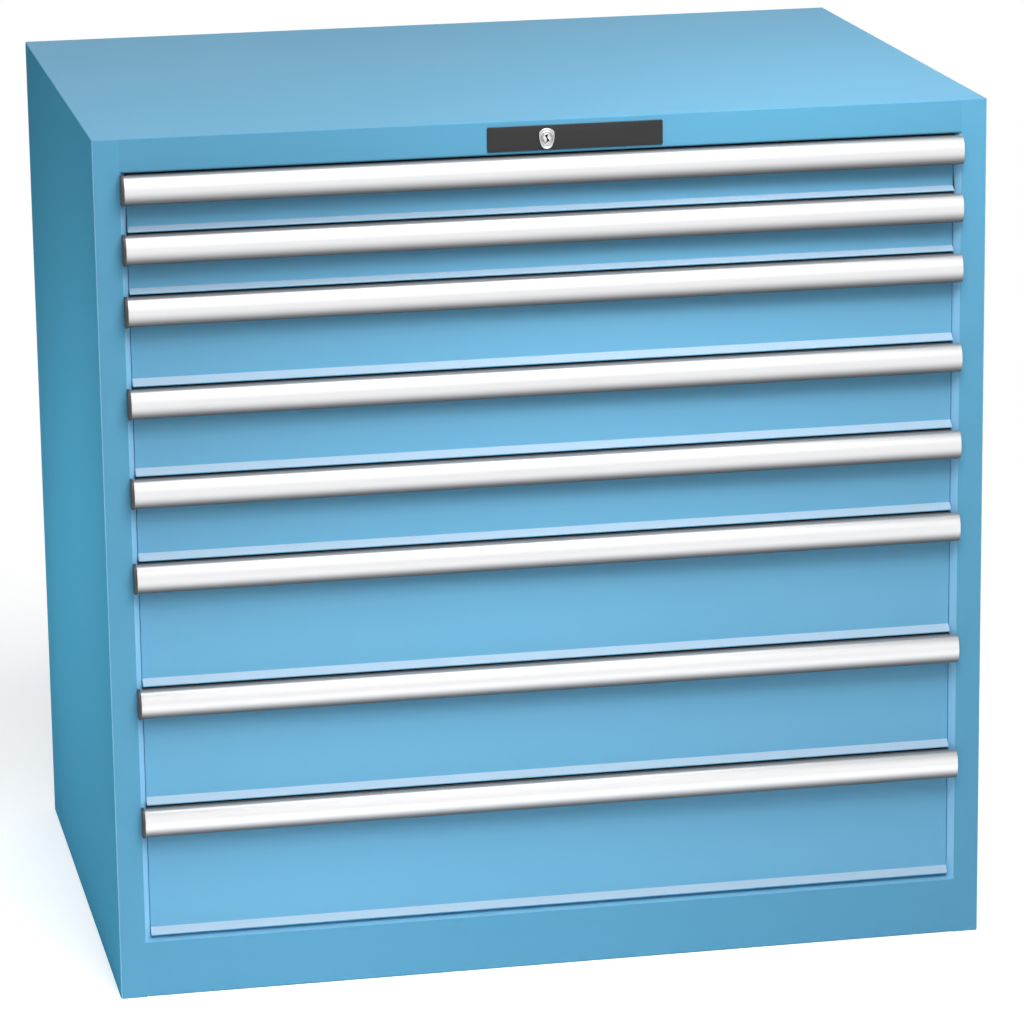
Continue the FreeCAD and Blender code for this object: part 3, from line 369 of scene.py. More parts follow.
class Finish:
    """One procedural finish: nodes are added and joined by name, and all read the object's coordinates."""

    def __init__(self, name, **shader):
        self.material = bpy.data.materials.new(name)
        self.material.use_nodes = True
        self.nodes = self.material.node_tree.nodes
        self.links = self.material.node_tree.links
        self.shader = self.nodes["Principled BSDF"]
        self.place = self.nodes.new("ShaderNodeTexCoord").outputs["Object"]
        self.bump = None
        for socket, value in shader.items():
            self.shader.inputs[socket.replace("_", " ")].default_value = value

    def join(self, source, target):
        self.links.new(source, target)

    def mapped(self, scale, turn=(0, 0, 0), source=None):
        node = self.nodes.new("ShaderNodeMapping")
        node.inputs["Scale"].default_value = scale
        node.inputs["Rotation"].default_value = turn
        self.join(source or self.place, node.inputs["Vector"])
        return node.outputs["Vector"]

    def noise(self, scale, detail=2.0, roughness=0.5, source=None):
        node = self.nodes.new("ShaderNodeTexNoise")
        node.inputs["Scale"].default_value = scale
        node.inputs["Detail"].default_value = detail
        node.inputs["Roughness"].default_value = roughness
        self.join(source or self.place, node.inputs["Vector"])
        return node.outputs["Fac"]

    def maths(self, operation, first, second=None, third=None):
        node = self.nodes.new("ShaderNodeMath")
        node.operation = operation
        for socket, value in zip(node.inputs, (first, second, third)):
            if value is None:
                continue
            if isinstance(value, (int, float)):
                socket.default_value = value
            else:
                self.join(value, socket)
        return node.outputs[0]

    def part(self, axis, source=None):
        node = self.nodes.new("ShaderNodeSeparateXYZ")
        self.join(source or self.place, node.inputs[0])
        return node.outputs[axis]

    def ranged(self, source, low, high, start=0.0, end=1.0, smooth=False):
        node = self.nodes.new("ShaderNodeMapRange")
        node.interpolation_type = "SMOOTHSTEP" if smooth else "LINEAR"
        for socket, value in (("From Min", start), ("From Max", end), ("To Min", low), ("To Max", high)):
            node.inputs[socket].default_value = value
        self.join(source, node.inputs["Value"])
        return node.outputs["Result"]

    def blend(self, share, first, second):
        node = self.nodes.new("ShaderNodeMix")
        node.data_type = "RGBA"
        self.join(share, node.inputs["Factor"])
        for socket, value in ((node.inputs[6], first), (node.inputs[7], second)):
            if isinstance(value, tuple):
                socket.default_value = value
            else:
                self.join(value, socket)
        return node.outputs[2]

    def relief(self, height, distance, strength=1.0):
        """Adds a layer of bump on top of those before it."""
        node = self.nodes.new("ShaderNodeBump")
        node.inputs["Strength"].default_value = strength
        node.inputs["Distance"].default_value = distance
        self.join(height, node.inputs["Height"])
        if self.bump is not None:
            self.join(self.bump, node.inputs["Normal"])
        self.bump = node.outputs["Normal"]
        self.join(self.bump, self.shader.inputs["Normal"])

    def set(self, socket, source):
        self.join(source, self.shader.inputs[socket])


def tinted(value, share=1.0):
    """A colour times a share, with its alpha."""
    return (value[0] * share, value[1] * share, value[2] * share, 1.0)


def powder_coat(name, base, gloss=0.06, spread=0.03, roughness=0.42):
    """Powder coat: a fine grain over a shallow orange peel, and a faint drift of tone and sheen."""
    finish = Finish(name, Specular_IOR_Level=gloss)
    drift = finish.noise(2.3, 2.0)
    fleck = finish.noise(900.0, 1.0)
    tone = finish.blend(drift, tinted(base, 1 - spread), tinted(base, 1 + spread))
    finish.set("Base Color", finish.blend(finish.ranged(fleck, 0.0, 0.06), tone, tinted(base, 1.35)))
    finish.set("Roughness", finish.ranged(finish.noise(5.0, 3.0), roughness - 0.04, roughness + 0.05))
    finish.relief(finish.noise(230.0, 1.0), 0.0004, 0.10)
    finish.relief(finish.noise(1500.0, 2.0), 0.0001, 0.25)
    return finish.material


def coat_with_painted_slope_light(name, base, slope):
    """Powder coat with painted light: its slopes, which look half upwards, are painted paler than its flats."""
    finish = Finish(name, Specular_IOR_Level=0.06)
    drift = finish.noise(2.3, 2.0)
    tone = finish.blend(drift, tinted(base, 0.97), tinted(base, 1.03))
    facing_up = finish.part("Z", finish.nodes.new("ShaderNodeNewGeometry").outputs["Normal"])
    # Painted light: faces that look half upwards get the paler slope colour
    steep = finish.ranged(facing_up, 0.0, 1.0, 0.35, 0.6, smooth=True)
    finish.set("Base Color", finish.blend(steep, tone, tinted(slope)))
    finish.set("Roughness", finish.ranged(finish.noise(5.0, 3.0), 0.36, 0.46))
    finish.relief(finish.noise(230.0, 1.0), 0.0004, 0.10)
    finish.relief(finish.noise(1500.0, 2.0), 0.0001, 0.25)
    return finish.material


def drawn_aluminium(name, base, low):
    """Anodised aluminium drawn along X, with long fine lines in relief and sheen.

    Its colour is painted darker, as painted shade and painted reflection, where the section turns up to its flat top
    and where the lip turns in below, and the flat top is painted less metallic.
    """
    finish = Finish(name, Anisotropic=0.3)
    lines = finish.noise(1.0, 3.0, 0.6, finish.mapped((3.0, 2600.0, 2600.0)))
    around = finish.nodes.new("ShaderNodeAttribute")
    around.attribute_name = "drop"
    # Painted shade and reflection: the colour goes darker towards the lip below and the flat top, by the stored drop
    painted_lip_shade = finish.ranged(around.outputs["Fac"], 0.0, 1.0, 0.52, 0.94, smooth=True)
    painted_top_shade = finish.ranged(around.outputs["Fac"], 0.75, 0.0, 0.02, 0.34, smooth=True)
    shade = finish.maths("MAXIMUM", painted_lip_shade, painted_top_shade)
    finish.set("Base Color", finish.blend(shade, tinted(base), tinted(low)))
    finish.set("Metallic", finish.ranged(painted_top_shade, 1.0, 0.3))
    finish.set("Roughness", finish.ranged(lines, 0.30, 0.44))
    finish.relief(lines, 0.00004, 0.2)
    return finish.material


def moulded(name, base, roughness=0.5):
    """Moulded plastic with an eroded grain."""
    finish = Finish(name, Specular_IOR_Level=0.4)
    grain = finish.noise(1300.0, 3.0, 0.6)
    finish.set("Base Color", finish.blend(grain, tinted(base, 0.9), tinted(base, 1.12)))
    finish.set("Roughness", finish.ranged(grain, roughness - 0.08, roughness + 0.1))
    finish.relief(grain, 0.0001, 0.35)
    return finish.material


def zinc_plate(name, base):
    """Zinc-plated steel: a cloudy spangle of tone and sheen, and light rolling lines along the strip."""
    finish = Finish(name, Metallic=1.0)
    cloud = finish.noise(60.0, 3.0, 0.6)
    lines = finish.noise(1.0, 2.0, 0.5, finish.mapped((900.0, 12.0, 900.0)))
    finish.set("Base Color", finish.blend(cloud, tinted(base, 0.88), tinted(base, 1.1)))
    finish.set("Roughness", finish.ranged(cloud, 0.28, 0.46))
    finish.relief(lines, 0.00005, 0.2)
    return finish.material


def polished_nickel(name, base, roughness=0.14):
    """Polished nickel with faint buffing marks."""
    finish = Finish(name, Metallic=1.0)
    marks = finish.noise(700.0, 3.0, 0.7)
    finish.set("Base Color", finish.blend(marks, tinted(base, 0.95), tinted(base, 1.05)))
    finish.set("Roughness", finish.ranged(marks, roughness, roughness + 0.1))
    return finish.material


def paint_nodes(names, finish):
    """Gives CAD nodes a finish, in place of the one that they were packed with."""
    for name in names:
        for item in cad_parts[name].material_slots:
            item.material = finish


def finish_named(name, build, *values):
    """The finish of that name, made the first time that it is asked for."""
    return bpy.data.materials.get(name) or build(name, *values)


# Pieces

def mark_side(wall, side):
    """Gives the third finish, the coat painted for the shade on the sides, to the faces of a wall that look out to its
    side, and the second, paler one, a painted highlight, to the middle of the bend between the side and the post, where
    a folded edge catches the light."""
    faces = wall.data.polygons
    normals = np.zeros(len(faces) * 3, np.float32)
    faces.foreach_get("normal", normals)
    marks = np.zeros(len(faces), np.int32)
    faces.foreach_get("material_index", marks)
    out = normals[::3] * side
    ahead = -normals[1::3]
    # Painted shade: faces that look out to the side get the side coat
    marks = np.where(out > 0.9, 2, marks)
    # Painted highlight: the middle of the bend between side and post gets the paler reveal coat
    marks = np.where((out > 0.45) & (ahead > 0.45), 1, marks)
    faces.foreach_set("material_index", marks.astype(np.int32))


class CABINET_OT_housing(bpy.types.Operator):
    """Coat the housing's walls, rails and sheets"""

    bl_idname = "cabinet.housing"
    bl_label = "Housing"

    def execute(self, context):
        colours = context.scene.cabinet_colours
        sizes = context.scene.cabinet_sizes
        # The housing's coat is a darker copy of the fronts' blue, painted shade
        coat = finish_named("housing_coat", powder_coat, colours.coat)
        # The side coat paints the shade on the side walls
        side_shade_matt = finish_named("wall_coat", powder_coat, colours.side_shade_coat, 0.0)
        # The reveal coat paints the light on the reveal slopes and the highlight on the bends
        reveal_coat = finish_named("reveal_coat", powder_coat, colours.reveal_coat)
        # The plinth's slope gets painted light
        paint_nodes(["plinth_rail"], finish_named("plinth_coat", coat_with_painted_slope_light, colours.coat, colours.slope_painted_light_coat))
        paint_nodes(["lock_rail", "top_panel", "base_panel", "back_panel"], coat)
        node = "side_panel_right"
        low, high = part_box(node)
        face = low.y
        sheet = sizes.housing_sheet
        bend = sizes.housing_bend
        post = high.x - sizes.post_width
        rail_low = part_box("lock_rail")[0].z
        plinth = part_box("plinth_rail")[1].z - sizes.reveal_width
        # The wall with its post and rear flange, in plan, outer side first
        rear = high.x - sizes.rear_flange
        outer = np.concatenate([
            [(rear, high.y)],
            arc((high.x - bend - sheet, high.y - bend - sheet), bend + sheet, 90, 0, 6),
            arc((high.x - bend - sheet, face + bend + sheet), bend + sheet, 0, -90, 6),
            [(post, face)],
        ])
        inner = np.concatenate([
            [(post, face + sheet)],
            arc((high.x - bend - sheet, face + bend + sheet), bend, -90, 0, 3),
            arc((high.x - bend - sheet, high.y - bend - sheet), bend, 0, 90, 3),
            [(rear, high.y - sheet)],
        ])
        plan = np.concatenate([outer, inner])
        inward = -outward(plan[::-1])[::-1]
        draws_in = np.concatenate([np.ones(len(outer)), np.zeros(len(inner))])
        draws_in[[0, len(outer) - 1]] = 1
        inward[0] = (0, -1)
        inward[len(outer) - 1] = (0, 1)
        turn = np.linspace(0, np.pi / 2, 5)
        radius = sizes.top_rounding
        heights = np.concatenate([[low.z], high.z - radius * (1 - np.sin(turn))])
        drawn = np.concatenate([[0], radius * (1 - np.cos(turn))])
        rows = plan[None] + inward[None] * (drawn[:, None] * draws_in)[..., None]
        rows = np.concatenate([rows, np.broadcast_to(heights[:, None, None], rows.shape[:2] + (1,))], axis=2)
        # The reveal of the opening, cut at its foot to the mitre
        slope_in = post - sizes.reveal_width
        recess = face + sizes.front_recess
        reveal_end = recess + sizes.reveal_return
        reveal = np.array([
            (post, face), (slope_in, recess), (slope_in, reveal_end), (slope_in + sheet, reveal_end),
            (slope_in + sheet, recess + sheet / 3), (post + sheet / 2, face + sheet),
        ])
        foot = plinth + post - reveal[:, 0]
        columns = np.stack([
            np.column_stack([reveal, foot]),
            np.column_stack([reveal, np.full(len(reveal), rail_low)]),
        ])
        foot_flange = np.array([(high.x - sizes.foot_flange, face + sheet), (high.x - sheet, face + sheet),
                                (high.x - sheet, high.y - sheet * 2), (high.x - sizes.foot_flange, high.y - sheet * 2)])
        flange = np.stack([np.column_stack([foot_flange, np.full(4, z)]) for z in (low.z, low.z + sheet)])
        for side, word in ((1, "right"), (-1, "left")):
            surface = Surface()
            surface.grid(rows * (side, 1, 1), wrap=True, close=(True, True), flip=side > 0)
            # The reveal's slopes get the paler coat, painted light
            surface.grid(columns * (side, 1, 1), wrap=True, close=(True, True), flip=side > 0, mark=1)
            surface.grid(flange * (side, 1, 1), wrap=True, close=(True, True), flip=side < 0)
            wall = surface.piece(f"wall_{word}", [coat, reveal_coat, side_shade_matt])
            mark_side(wall, side)
            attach(wall, "housing")
            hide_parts(f"side_panel_{word}")
        return {"FINISHED"}


def front_outline(sizes, low, high):
    """The outside of a front's section: its top step, the flat, the sloped ledge and the foot."""
    post = low.y + 0.0004
    flat = post + sizes.front_recess
    seat = high.z - sizes.grip_seat
    ledge = low.z + min(0.0085, (high.z - low.z + 0.002) / 12)
    lip = post + sizes.ledge_lip
    return np.array([
        (high.y, high.z), (low.y, high.z), (low.y, seat), (flat, seat),
        (flat, ledge), (lip, low.z + sizes.front_sheet), (lip, low.z), (high.y, low.z),
    ])


def split_at(outline, place, height):
    """The closed outline with a point added wherever a side above a height crosses a place along its first axis."""
    parts = []
    for start, end in zip(outline, np.roll(outline, -1, axis=0)):
        parts.append(start)
        if min(start[1], end[1]) > height and (start[0] - place) * (end[0] - place) < 0:
            parts.append(start + (end - start) * (place - start[0]) / (end[0] - start[0]))
    return np.array(parts)


def mark_ledge(front, seat, rear):
    """Gives the second finish, a paler coat that paints the light falling on the upward slope, to the slope at the foot
    of a front, and the third, a dark strip that paints the shade in the gap above the grip, to the strip along its top,
    which ends at the rear."""
    faces = front.data.polygons
    normals = np.zeros(len(faces) * 3, np.float32)
    faces.foreach_get("normal", normals)
    centres = np.zeros(len(faces) * 3, np.float32)
    faces.foreach_get("center", centres)
    up = normals[2::3]
    above = centres[2::3] > seat
    # Painted highlight: faces below the seat that look half upwards get the paler ledge coat
    marks = np.where((up > 0.35) & (up < 0.95) & ~above, 1, 0)
    # Painted shadow: the front's top, just behind its face, gets the dark strip
    marks = np.where((up > 0.3) & above & (centres[1::3] < rear), 2, marks)
    faces.foreach_set("material_index", marks.astype(np.int32))


class CABINET_OT_fronts(bpy.types.Operator):
    """Fold the drawer fronts from sheet, with a cheek at each end"""

    bl_idname = "cabinet.fronts"
    bl_label = "Drawer fronts"

    def execute(self, context):
        sizes = context.scene.cabinet_sizes
        colours = context.scene.cabinet_colours
        coat = finish_named("front_coat", powder_coat, colours.front_coat, 0.08)
        # The ledge coat is a painted highlight on the upward slopes
        ledge_coat = finish_named("ledge_coat", powder_coat, colours.ledge_coat, 0.08)
        # The dark strip paints the shadow in the gap between a grip and the ledge above it
        strip = finish_named("sealing_strip", moulded, colours.strip, 0.6)
        thin = sizes.front_sheet
        tight = sizes.fold_radius
        wide = tight + thin
        for number in DRAWERS:
            node = f"drawer_{number}_front"
            low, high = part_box(node)
            outside = front_outline(sizes, low, high)
            flat = outside[3, 0]
            seat = outside[3, 1]
            ledge = outside[4, 1]
            lip = outside[6, 0]
            inside = np.array([
                (high.y, low.z + thin), (lip + thin * 2, low.z + thin), (flat + thin, ledge + thin / 2),
                (flat + thin, seat + thin), (low.y + thin, seat + thin), (low.y + thin, high.z - thin),
                (high.y, high.z - thin),
            ])
            edge = 0.0002
            ribbon = softened(np.concatenate([outside, inside]),
                              [edge, wide, wide, tight, wide, tight, tight, edge,
                               edge, tight, wide, wide, tight, tight, edge])
            closed = softened(outside, [edge, wide, wide, tight, wide, tight, tight, edge])
            shadow_strip_end = low.y + sizes.shadow_strip_depth
            ribbon = split_at(ribbon, shadow_strip_end, seat)
            closed = split_at(closed, shadow_strip_end, seat)
            surface = Surface()
            side = high.x + sizes.front_reach
            inner = side - thin
            # The sheet runs a little way into the cheeks, whose outline lies a hair inside it
            stations, growth = round_over(inner, side, 0.0008)
            reach = inner + 0.0004
            surface.grid(across(ribbon, (-reach, reach)), wrap=True, close=(True, True))
            right = across(closed, stations, growth - 0.00002)
            surface.grid(right, wrap=True, close=(True, True))
            left = right * (-1, 1, 1)
            surface.grid(left, wrap=True, close=(True, True), flip=True)
            front = surface.piece(f"front_{number}", [coat, ledge_coat, strip])
            mark_ledge(front, seat, shadow_strip_end)
            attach(front, f"drawer_{number}")
            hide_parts(node)
        return {"FINISHED"}


def nose(sizes, back, top, grown):
    """The grip's nose from its top edge to its lip, grown outwards by an amount.

    One broad arc about a point behind the grip meets a small arc at the top and one at the lip. Each small
    arc's centre lies on the broad arc's radius through the point where they meet, so they share a tangent.
    """
    broad = (back - GRIP_DEPTH + sizes.nose_radius, top - sizes.nose_drop)
    top_rise = sizes.nose_drop - sizes.top_radius
    top_run = math.sqrt((sizes.nose_radius - sizes.top_radius) ** 2 - top_rise ** 2)
    lip_rise = GRIP_HEIGHT - sizes.nose_drop - sizes.lip_radius
    lip_run = math.sqrt((sizes.nose_radius - sizes.lip_radius) ** 2 - lip_rise ** 2)
    upper = 180 - math.degrees(math.atan2(top_rise, top_run))
    lower = 180 + math.degrees(math.atan2(lip_rise, lip_run))
    top_centre = (broad[0] - top_run, broad[1] + top_rise)
    lip_centre = (broad[0] - lip_run, broad[1] - lip_rise)
    return np.concatenate([
        arc(top_centre, sizes.top_radius + grown, 90, upper, 8),
        arc(broad, sizes.nose_radius + grown, upper, lower, 22)[1:-1],
        arc(lip_centre, sizes.lip_radius + grown, lower, 270, 10),
    ])


GRIP_LOW, GRIP_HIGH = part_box("drawer_1_handle")
GRIP_DEPTH = GRIP_HIGH.y - GRIP_LOW.y
GRIP_HEIGHT = GRIP_HIGH.z - GRIP_LOW.z


def mark_drop(item, top, height):
    """Stores how far each point of a grip lies below its top edge, as a share of its height."""
    points = np.zeros(len(item.data.vertices) * 3, np.float32)
    item.data.vertices.foreach_get("co", points)
    drop = (top - points[2::3]) / height
    store = item.data.attributes.new("drop", "FLOAT", "POINT")
    store.data.foreach_set("value", drop.astype(np.float32))


class CABINET_OT_grips(bpy.types.Operator):
    """Draw the full-width aluminium grips"""

    bl_idname = "cabinet.grips"
    bl_label = "Grips"

    def execute(self, context):
        sizes = context.scene.cabinet_sizes
        colours = context.scene.cabinet_colours
        # The aluminium has painted shade and reflection towards its lip and flat top
        metal = finish_named("drawn_aluminium", drawn_aluminium, colours.grip, colours.grip_painted_shade)
        for number in DRAWERS:
            node = f"drawer_{number}_handle"
            low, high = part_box(node)
            wall = sizes.grip_wall
            outside = nose(sizes, high.y, high.z, 0.0)
            inside = nose(sizes, high.y, high.z, -wall)[::-1]
            leg = softened([(high.y - wall, high.z - wall), (high.y - wall, high.z - sizes.grip_seat),
                            (high.y, high.z - sizes.grip_seat), (high.y, high.z)],
                           [0.0005, 0.0003, 0.0003, 0.0005], 3)
            outline = np.concatenate([outside, inside, leg])
            right, right_growth = round_over(0.0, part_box(f"drawer_{number}_end_caps")[1].x - 0.0002, 0.0004)
            left, left_growth = round_over(0.0, high.x, 0.0004)
            stations = np.concatenate([-left[::-1], right[1:]])
            growth = np.concatenate([left_growth[::-1], right_growth[1:]])
            surface = Surface()
            surface.grid(across(outline, stations, growth), wrap=True, close=(True, True))
            grip = surface.piece(f"grip_{number}", [metal], 40.0)
            mark_drop(grip, high.z, GRIP_HEIGHT)
            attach(grip, f"drawer_{number}")
            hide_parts(node)
        return {"FINISHED"}


class CABINET_OT_end_caps(bpy.types.Operator):
    """Mould the caps of the grips: one closes the left end from outside, and the right one sits in the grip"""

    bl_idname = "cabinet.end_caps"
    bl_label = "End caps"

    def execute(self, context):
        sizes = context.scene.cabinet_sizes
        colours = context.scene.cabinet_colours
        plastic = finish_named("moulded_cap", moulded, colours.cap)
        for number in DRAWERS:
            node = f"drawer_{number}_end_caps"
            low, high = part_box(node)
            grip_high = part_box(f"drawer_{number}_handle")[1]
            grown = high.z - grip_high.z
            curve = nose(sizes, grip_high.y, grip_high.z, grown)
            outline = np.concatenate([[(high.y, high.z)], curve, [(high.y, low.z)]])
            stations, growth = round_over(grip_high.x, high.x, sizes.cap_rounding)
            rows = across(outline, stations, growth)
            rows[..., 1] = np.minimum(rows[..., 1], high.y)
            surface = Surface()
            surface.grid(rows * (-1, 1, 1), wrap=True, close=(True, True), flip=True)
            wall = sizes.grip_wall
            inside = nose(sizes, grip_high.y, grip_high.z, -wall - 0.0001)
            rear = grip_high.y - wall - 0.0001
            plug = np.concatenate([[(rear, inside[0, 1])], inside, [(rear, inside[-1, 1])]])
            stations, growth = round_over(grip_high.x, high.x - 0.0004, 0.0003)
            surface.grid(across(plug, stations, growth), wrap=True, close=(True, True))
            caps = surface.piece(f"end_caps_{number}", [plastic])
            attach(caps, f"drawer_{number}")
            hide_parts(node)
        return {"FINISHED"}


class CABINET_OT_boxes(bpy.types.Operator):
    """Coat the drawer boxes"""

    bl_idname = "cabinet.boxes"
    bl_label = "Drawer boxes"

    def execute(self, context):
        colours = context.scene.cabinet_colours
        coat = finish_named("box_coat", powder_coat, colours.box_coat)
        paint_nodes([f"drawer_{number}_box" for number in DRAWERS], coat)
        return {"FINISHED"}


class CABINET_OT_runners(bpy.types.Operator):
    """Plate the runners, the slotted uprights and the lock's linkage with zinc"""

    bl_idname = "cabinet.runners"
    bl_label = "Runners"

    def execute(self, context):
        colours = context.scene.cabinet_colours
        zinc = finish_named("zinc_plate", zinc_plate, colours.zinc)
        paint_nodes([f"drawer_{number}_middle_rails" for number in DRAWERS], zinc)
        paint_nodes(["uprights_left", "uprights_right", "cabinet_rails_left", "cabinet_rails_right",
                     "locking_bar", "lock_guides", "transfer_rod", "bell_crank", "lock_cam"], zinc)
        return {"FINISHED"}


class CABINET_OT_lock(bpy.types.Operator):
    """Make the lock's cover plate, shield, barrel and plug"""

    bl_idname = "cabinet.lock"
    bl_label = "Lock"

    def execute(self, context):
        colours = context.scene.cabinet_colours
        sizes = context.scene.cabinet_sizes
        satin = finish_named("plate_coat", moulded, colours.plate, 0.45)
        nickel = finish_named("polished_nickel", polished_nickel, colours.nickel)
        # Painted shade: the grooves of the shield and barrel get nickel painted darker, and the barrel gets satin
        # nickel painted darker for the shade on its ring
        groove_shade_nickel = finish_named("etched_nickel", polished_nickel, tinted(colours.nickel, 0.62), 0.35)
        satin_nickel = finish_named("satin_nickel", polished_nickel, tinted(colours.nickel, 0.5), 0.4)
        # Painted shadow: the keyway's walls and floor are painted near black for the shade inside the slot
        keyway = finish_named("keyway", moulded, (0.006, 0.006, 0.006), 0.6)
        low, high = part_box("lock_barrel")
        centre = np.array([(low.x + high.x) / 2, (low.z + high.z) / 2])
        radius = (high.x - low.x) / 2
        self.plate(sizes, centre, radius, [satin])
        self.shield(sizes, centre, radius, [nickel, groove_shade_nickel])
        self.barrel(sizes, centre, radius, [satin_nickel, groove_shade_nickel])
        self.plug(sizes, centre, [nickel, keyway])
        return {"FINISHED"}

    def plate(self, sizes, centre, radius, finishes):
        low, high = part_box("lock_cover_plate")
        corners = [(low.x, low.z), (high.x, low.z), (high.x, high.z), (low.x, high.z)]
        outer = divided(softened(corners, sizes.plate_corner), 0.003)
        inner = circle_facing(outer, centre, radius)
        steps = rounded_rim(low.y, high.y, sizes.plate_edge) + [(1, 0, low.y), (1, 0, high.y), (0, 0, high.y)]
        surface = Surface().grid(between(outer, inner, steps), wrap=True)
        self.finish("cover_plate", surface, finishes, "lock_cover_plate", "plate_dark", "housing")

    def shield(self, sizes, centre, radius, finishes):
        low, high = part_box("lock_shield")
        shoulder = (sizes.shield_half, sizes.shield_shoulder)
        foot = (sizes.shield_foot_half, -sizes.shield_foot)
        left = (-shoulder[0], shoulder[1])
        left_foot = (-foot[0], foot[1])
        outer = np.concatenate([
            swept(foot, shoulder, sizes.shield_flank, 14)[:-1],
            swept(shoulder, left, sizes.shield_crown, 14)[:-1],
            swept(left, left_foot, sizes.shield_flank, 14)[:-1],
            swept(left_foot, foot, sizes.shield_toe, 12)[:-1],
        ]) + centre
        inner = circle_facing(outer, centre, radius)
        sunk = low.y + sizes.shield_sunk
        rim = rounded_rim(low.y, high.y, sizes.shield_edge)
        surface = Surface()
        surface.grid(between(outer, inner, rim + [(0.30, 0, low.y), (0.42, 0, sunk)]), wrap=True)
        # Painted shade: the groove inside the shield's rim gets the darker nickel
        surface.grid(between(outer, inner, [(0.42, 0, sunk), (0.78, 0, sunk)]), wrap=True, mark=1)
        last = [(0.78, 0, sunk), (0.9, 0, low.y), (1, 0, low.y), (1, 0, high.y), (0, 0, high.y)]
        surface.grid(between(outer, inner, last), wrap=True)
        self.finish("shield", surface, finishes, "lock_shield", "shield_chrome", "housing")

    def barrel(self, sizes, centre, radius, finishes):
        low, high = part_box("lock_barrel")
        bore = sizes.plug_radius + 0.00005
        edge = sizes.plate_edge
        band = (radius - bore) / 4
        surface = Surface()
        rim = arc((radius - edge, low.y + edge), edge, 0, -90, 4)
        groove = arc((bore + band * 1.6, low.y), band, 0, -180, 8) * (1, -1) + (0, 2 * low.y)
        surface.grid(lathed(centre, np.concatenate([[(radius, high.y)], rim, groove[:1]])), wrap=True)
        # Painted shade: the barrel's groove gets the darker nickel
        surface.grid(lathed(centre, groove), wrap=True, mark=1)
        bottom = [groove[-1], (bore, low.y), (bore, high.y), (radius, high.y)]
        surface.grid(lathed(centre, bottom), wrap=True)
        self.finish("barrel", surface, finishes, "lock_barrel", "lock_steel", "housing")

    def plug(self, sizes, centre, finishes):
        """The keyway's half width swells and shrinks with height, and its middle sways from side to side."""
        low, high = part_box("lock_cylinder")
        height = np.linspace(-1, 1, 25)
        half = sizes.keyway_half * (0.66 - 0.34 * np.cos(1.4 * np.pi * height)) * np.sqrt(1.001 - height ** 8)
        middle = -sizes.keyway_sway * np.sin(np.pi * height)
        up = height * sizes.keyway_tall / 2
        inner = np.concatenate([np.stack([middle + half, up], axis=1), np.stack([middle - half, up], axis=1)[::-1]])
        inner = inner + centre
        outer = circle_facing(inner, centre, sizes.plug_radius)
        rim = rounded_rim(low.y, high.y, sizes.plate_edge)
        deep = low.y + sizes.keyway_deep
        surface = Surface()
        surface.grid(between(outer, inner, rim + [(1, 0, low.y)]), wrap=True, close=(True, False))
        # Painted shadow: the keyway's walls and floor get the near-black finish
        surface.grid(between(outer, inner, [(1, 0, low.y), (1, 0, deep)]), wrap=True, close=(False, True), mark=1)
        self.finish("plug", surface, finishes, "lock_cylinder", "lock_steel", "lock_plug")

    def finish(self, name, surface, finishes, node, slot, body):
        made = surface.piece(name, finishes, 30.0)
        merge_seams(made)
        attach(made, body)
        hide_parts(node)


# Studio

def soft_lamp(name, place, target, width, height, power):
    """A rectangular lamp that looks from its place to a target."""
    lamp = bpy.data.lights.new(name, "AREA")
    lamp.shape = "RECTANGLE"
    lamp.size = width
    lamp.size_y = height
    lamp.energy = power
    item = bpy.data.objects.new(name, lamp)
    bpy.context.scene.collection.objects.link(item)
    item.location = place
    item.rotation_euler = (Vector(target) - Vector(place)).to_track_quat("-Z", "Y").to_euler()
    return item


def strip_lamp(name, place, target, width, height, power, slant, spread):
    """A slanting strip lamp that neither the camera nor gloss sees, with the spread of its beam in degrees."""
    item = soft_lamp(name, place, target, width, height, power)
    item.rotation_euler.rotate_axis("Z", math.radians(slant))
    item.data.spread = math.radians(spread)
    item.visible_camera = False
    item.visible_glossy = False


def seen_share(nodes, links):
    """One for rays from the camera, from gloss and through clear things, and nought for the rest."""
    path = nodes.new("ShaderNodeLightPath")
    first = nodes.new("ShaderNodeMath")
    first.operation = "MAXIMUM"
    second = nodes.new("ShaderNodeMath")
    second.operation = "MAXIMUM"
    links.new(path.outputs["Is Camera Ray"], first.inputs[0])
    links.new(path.outputs["Is Glossy Ray"], first.inputs[1])
    links.new(first.outputs[0], second.inputs[0])
    links.new(path.outputs["Is Transmission Ray"], second.inputs[1])
    return second.outputs[0]


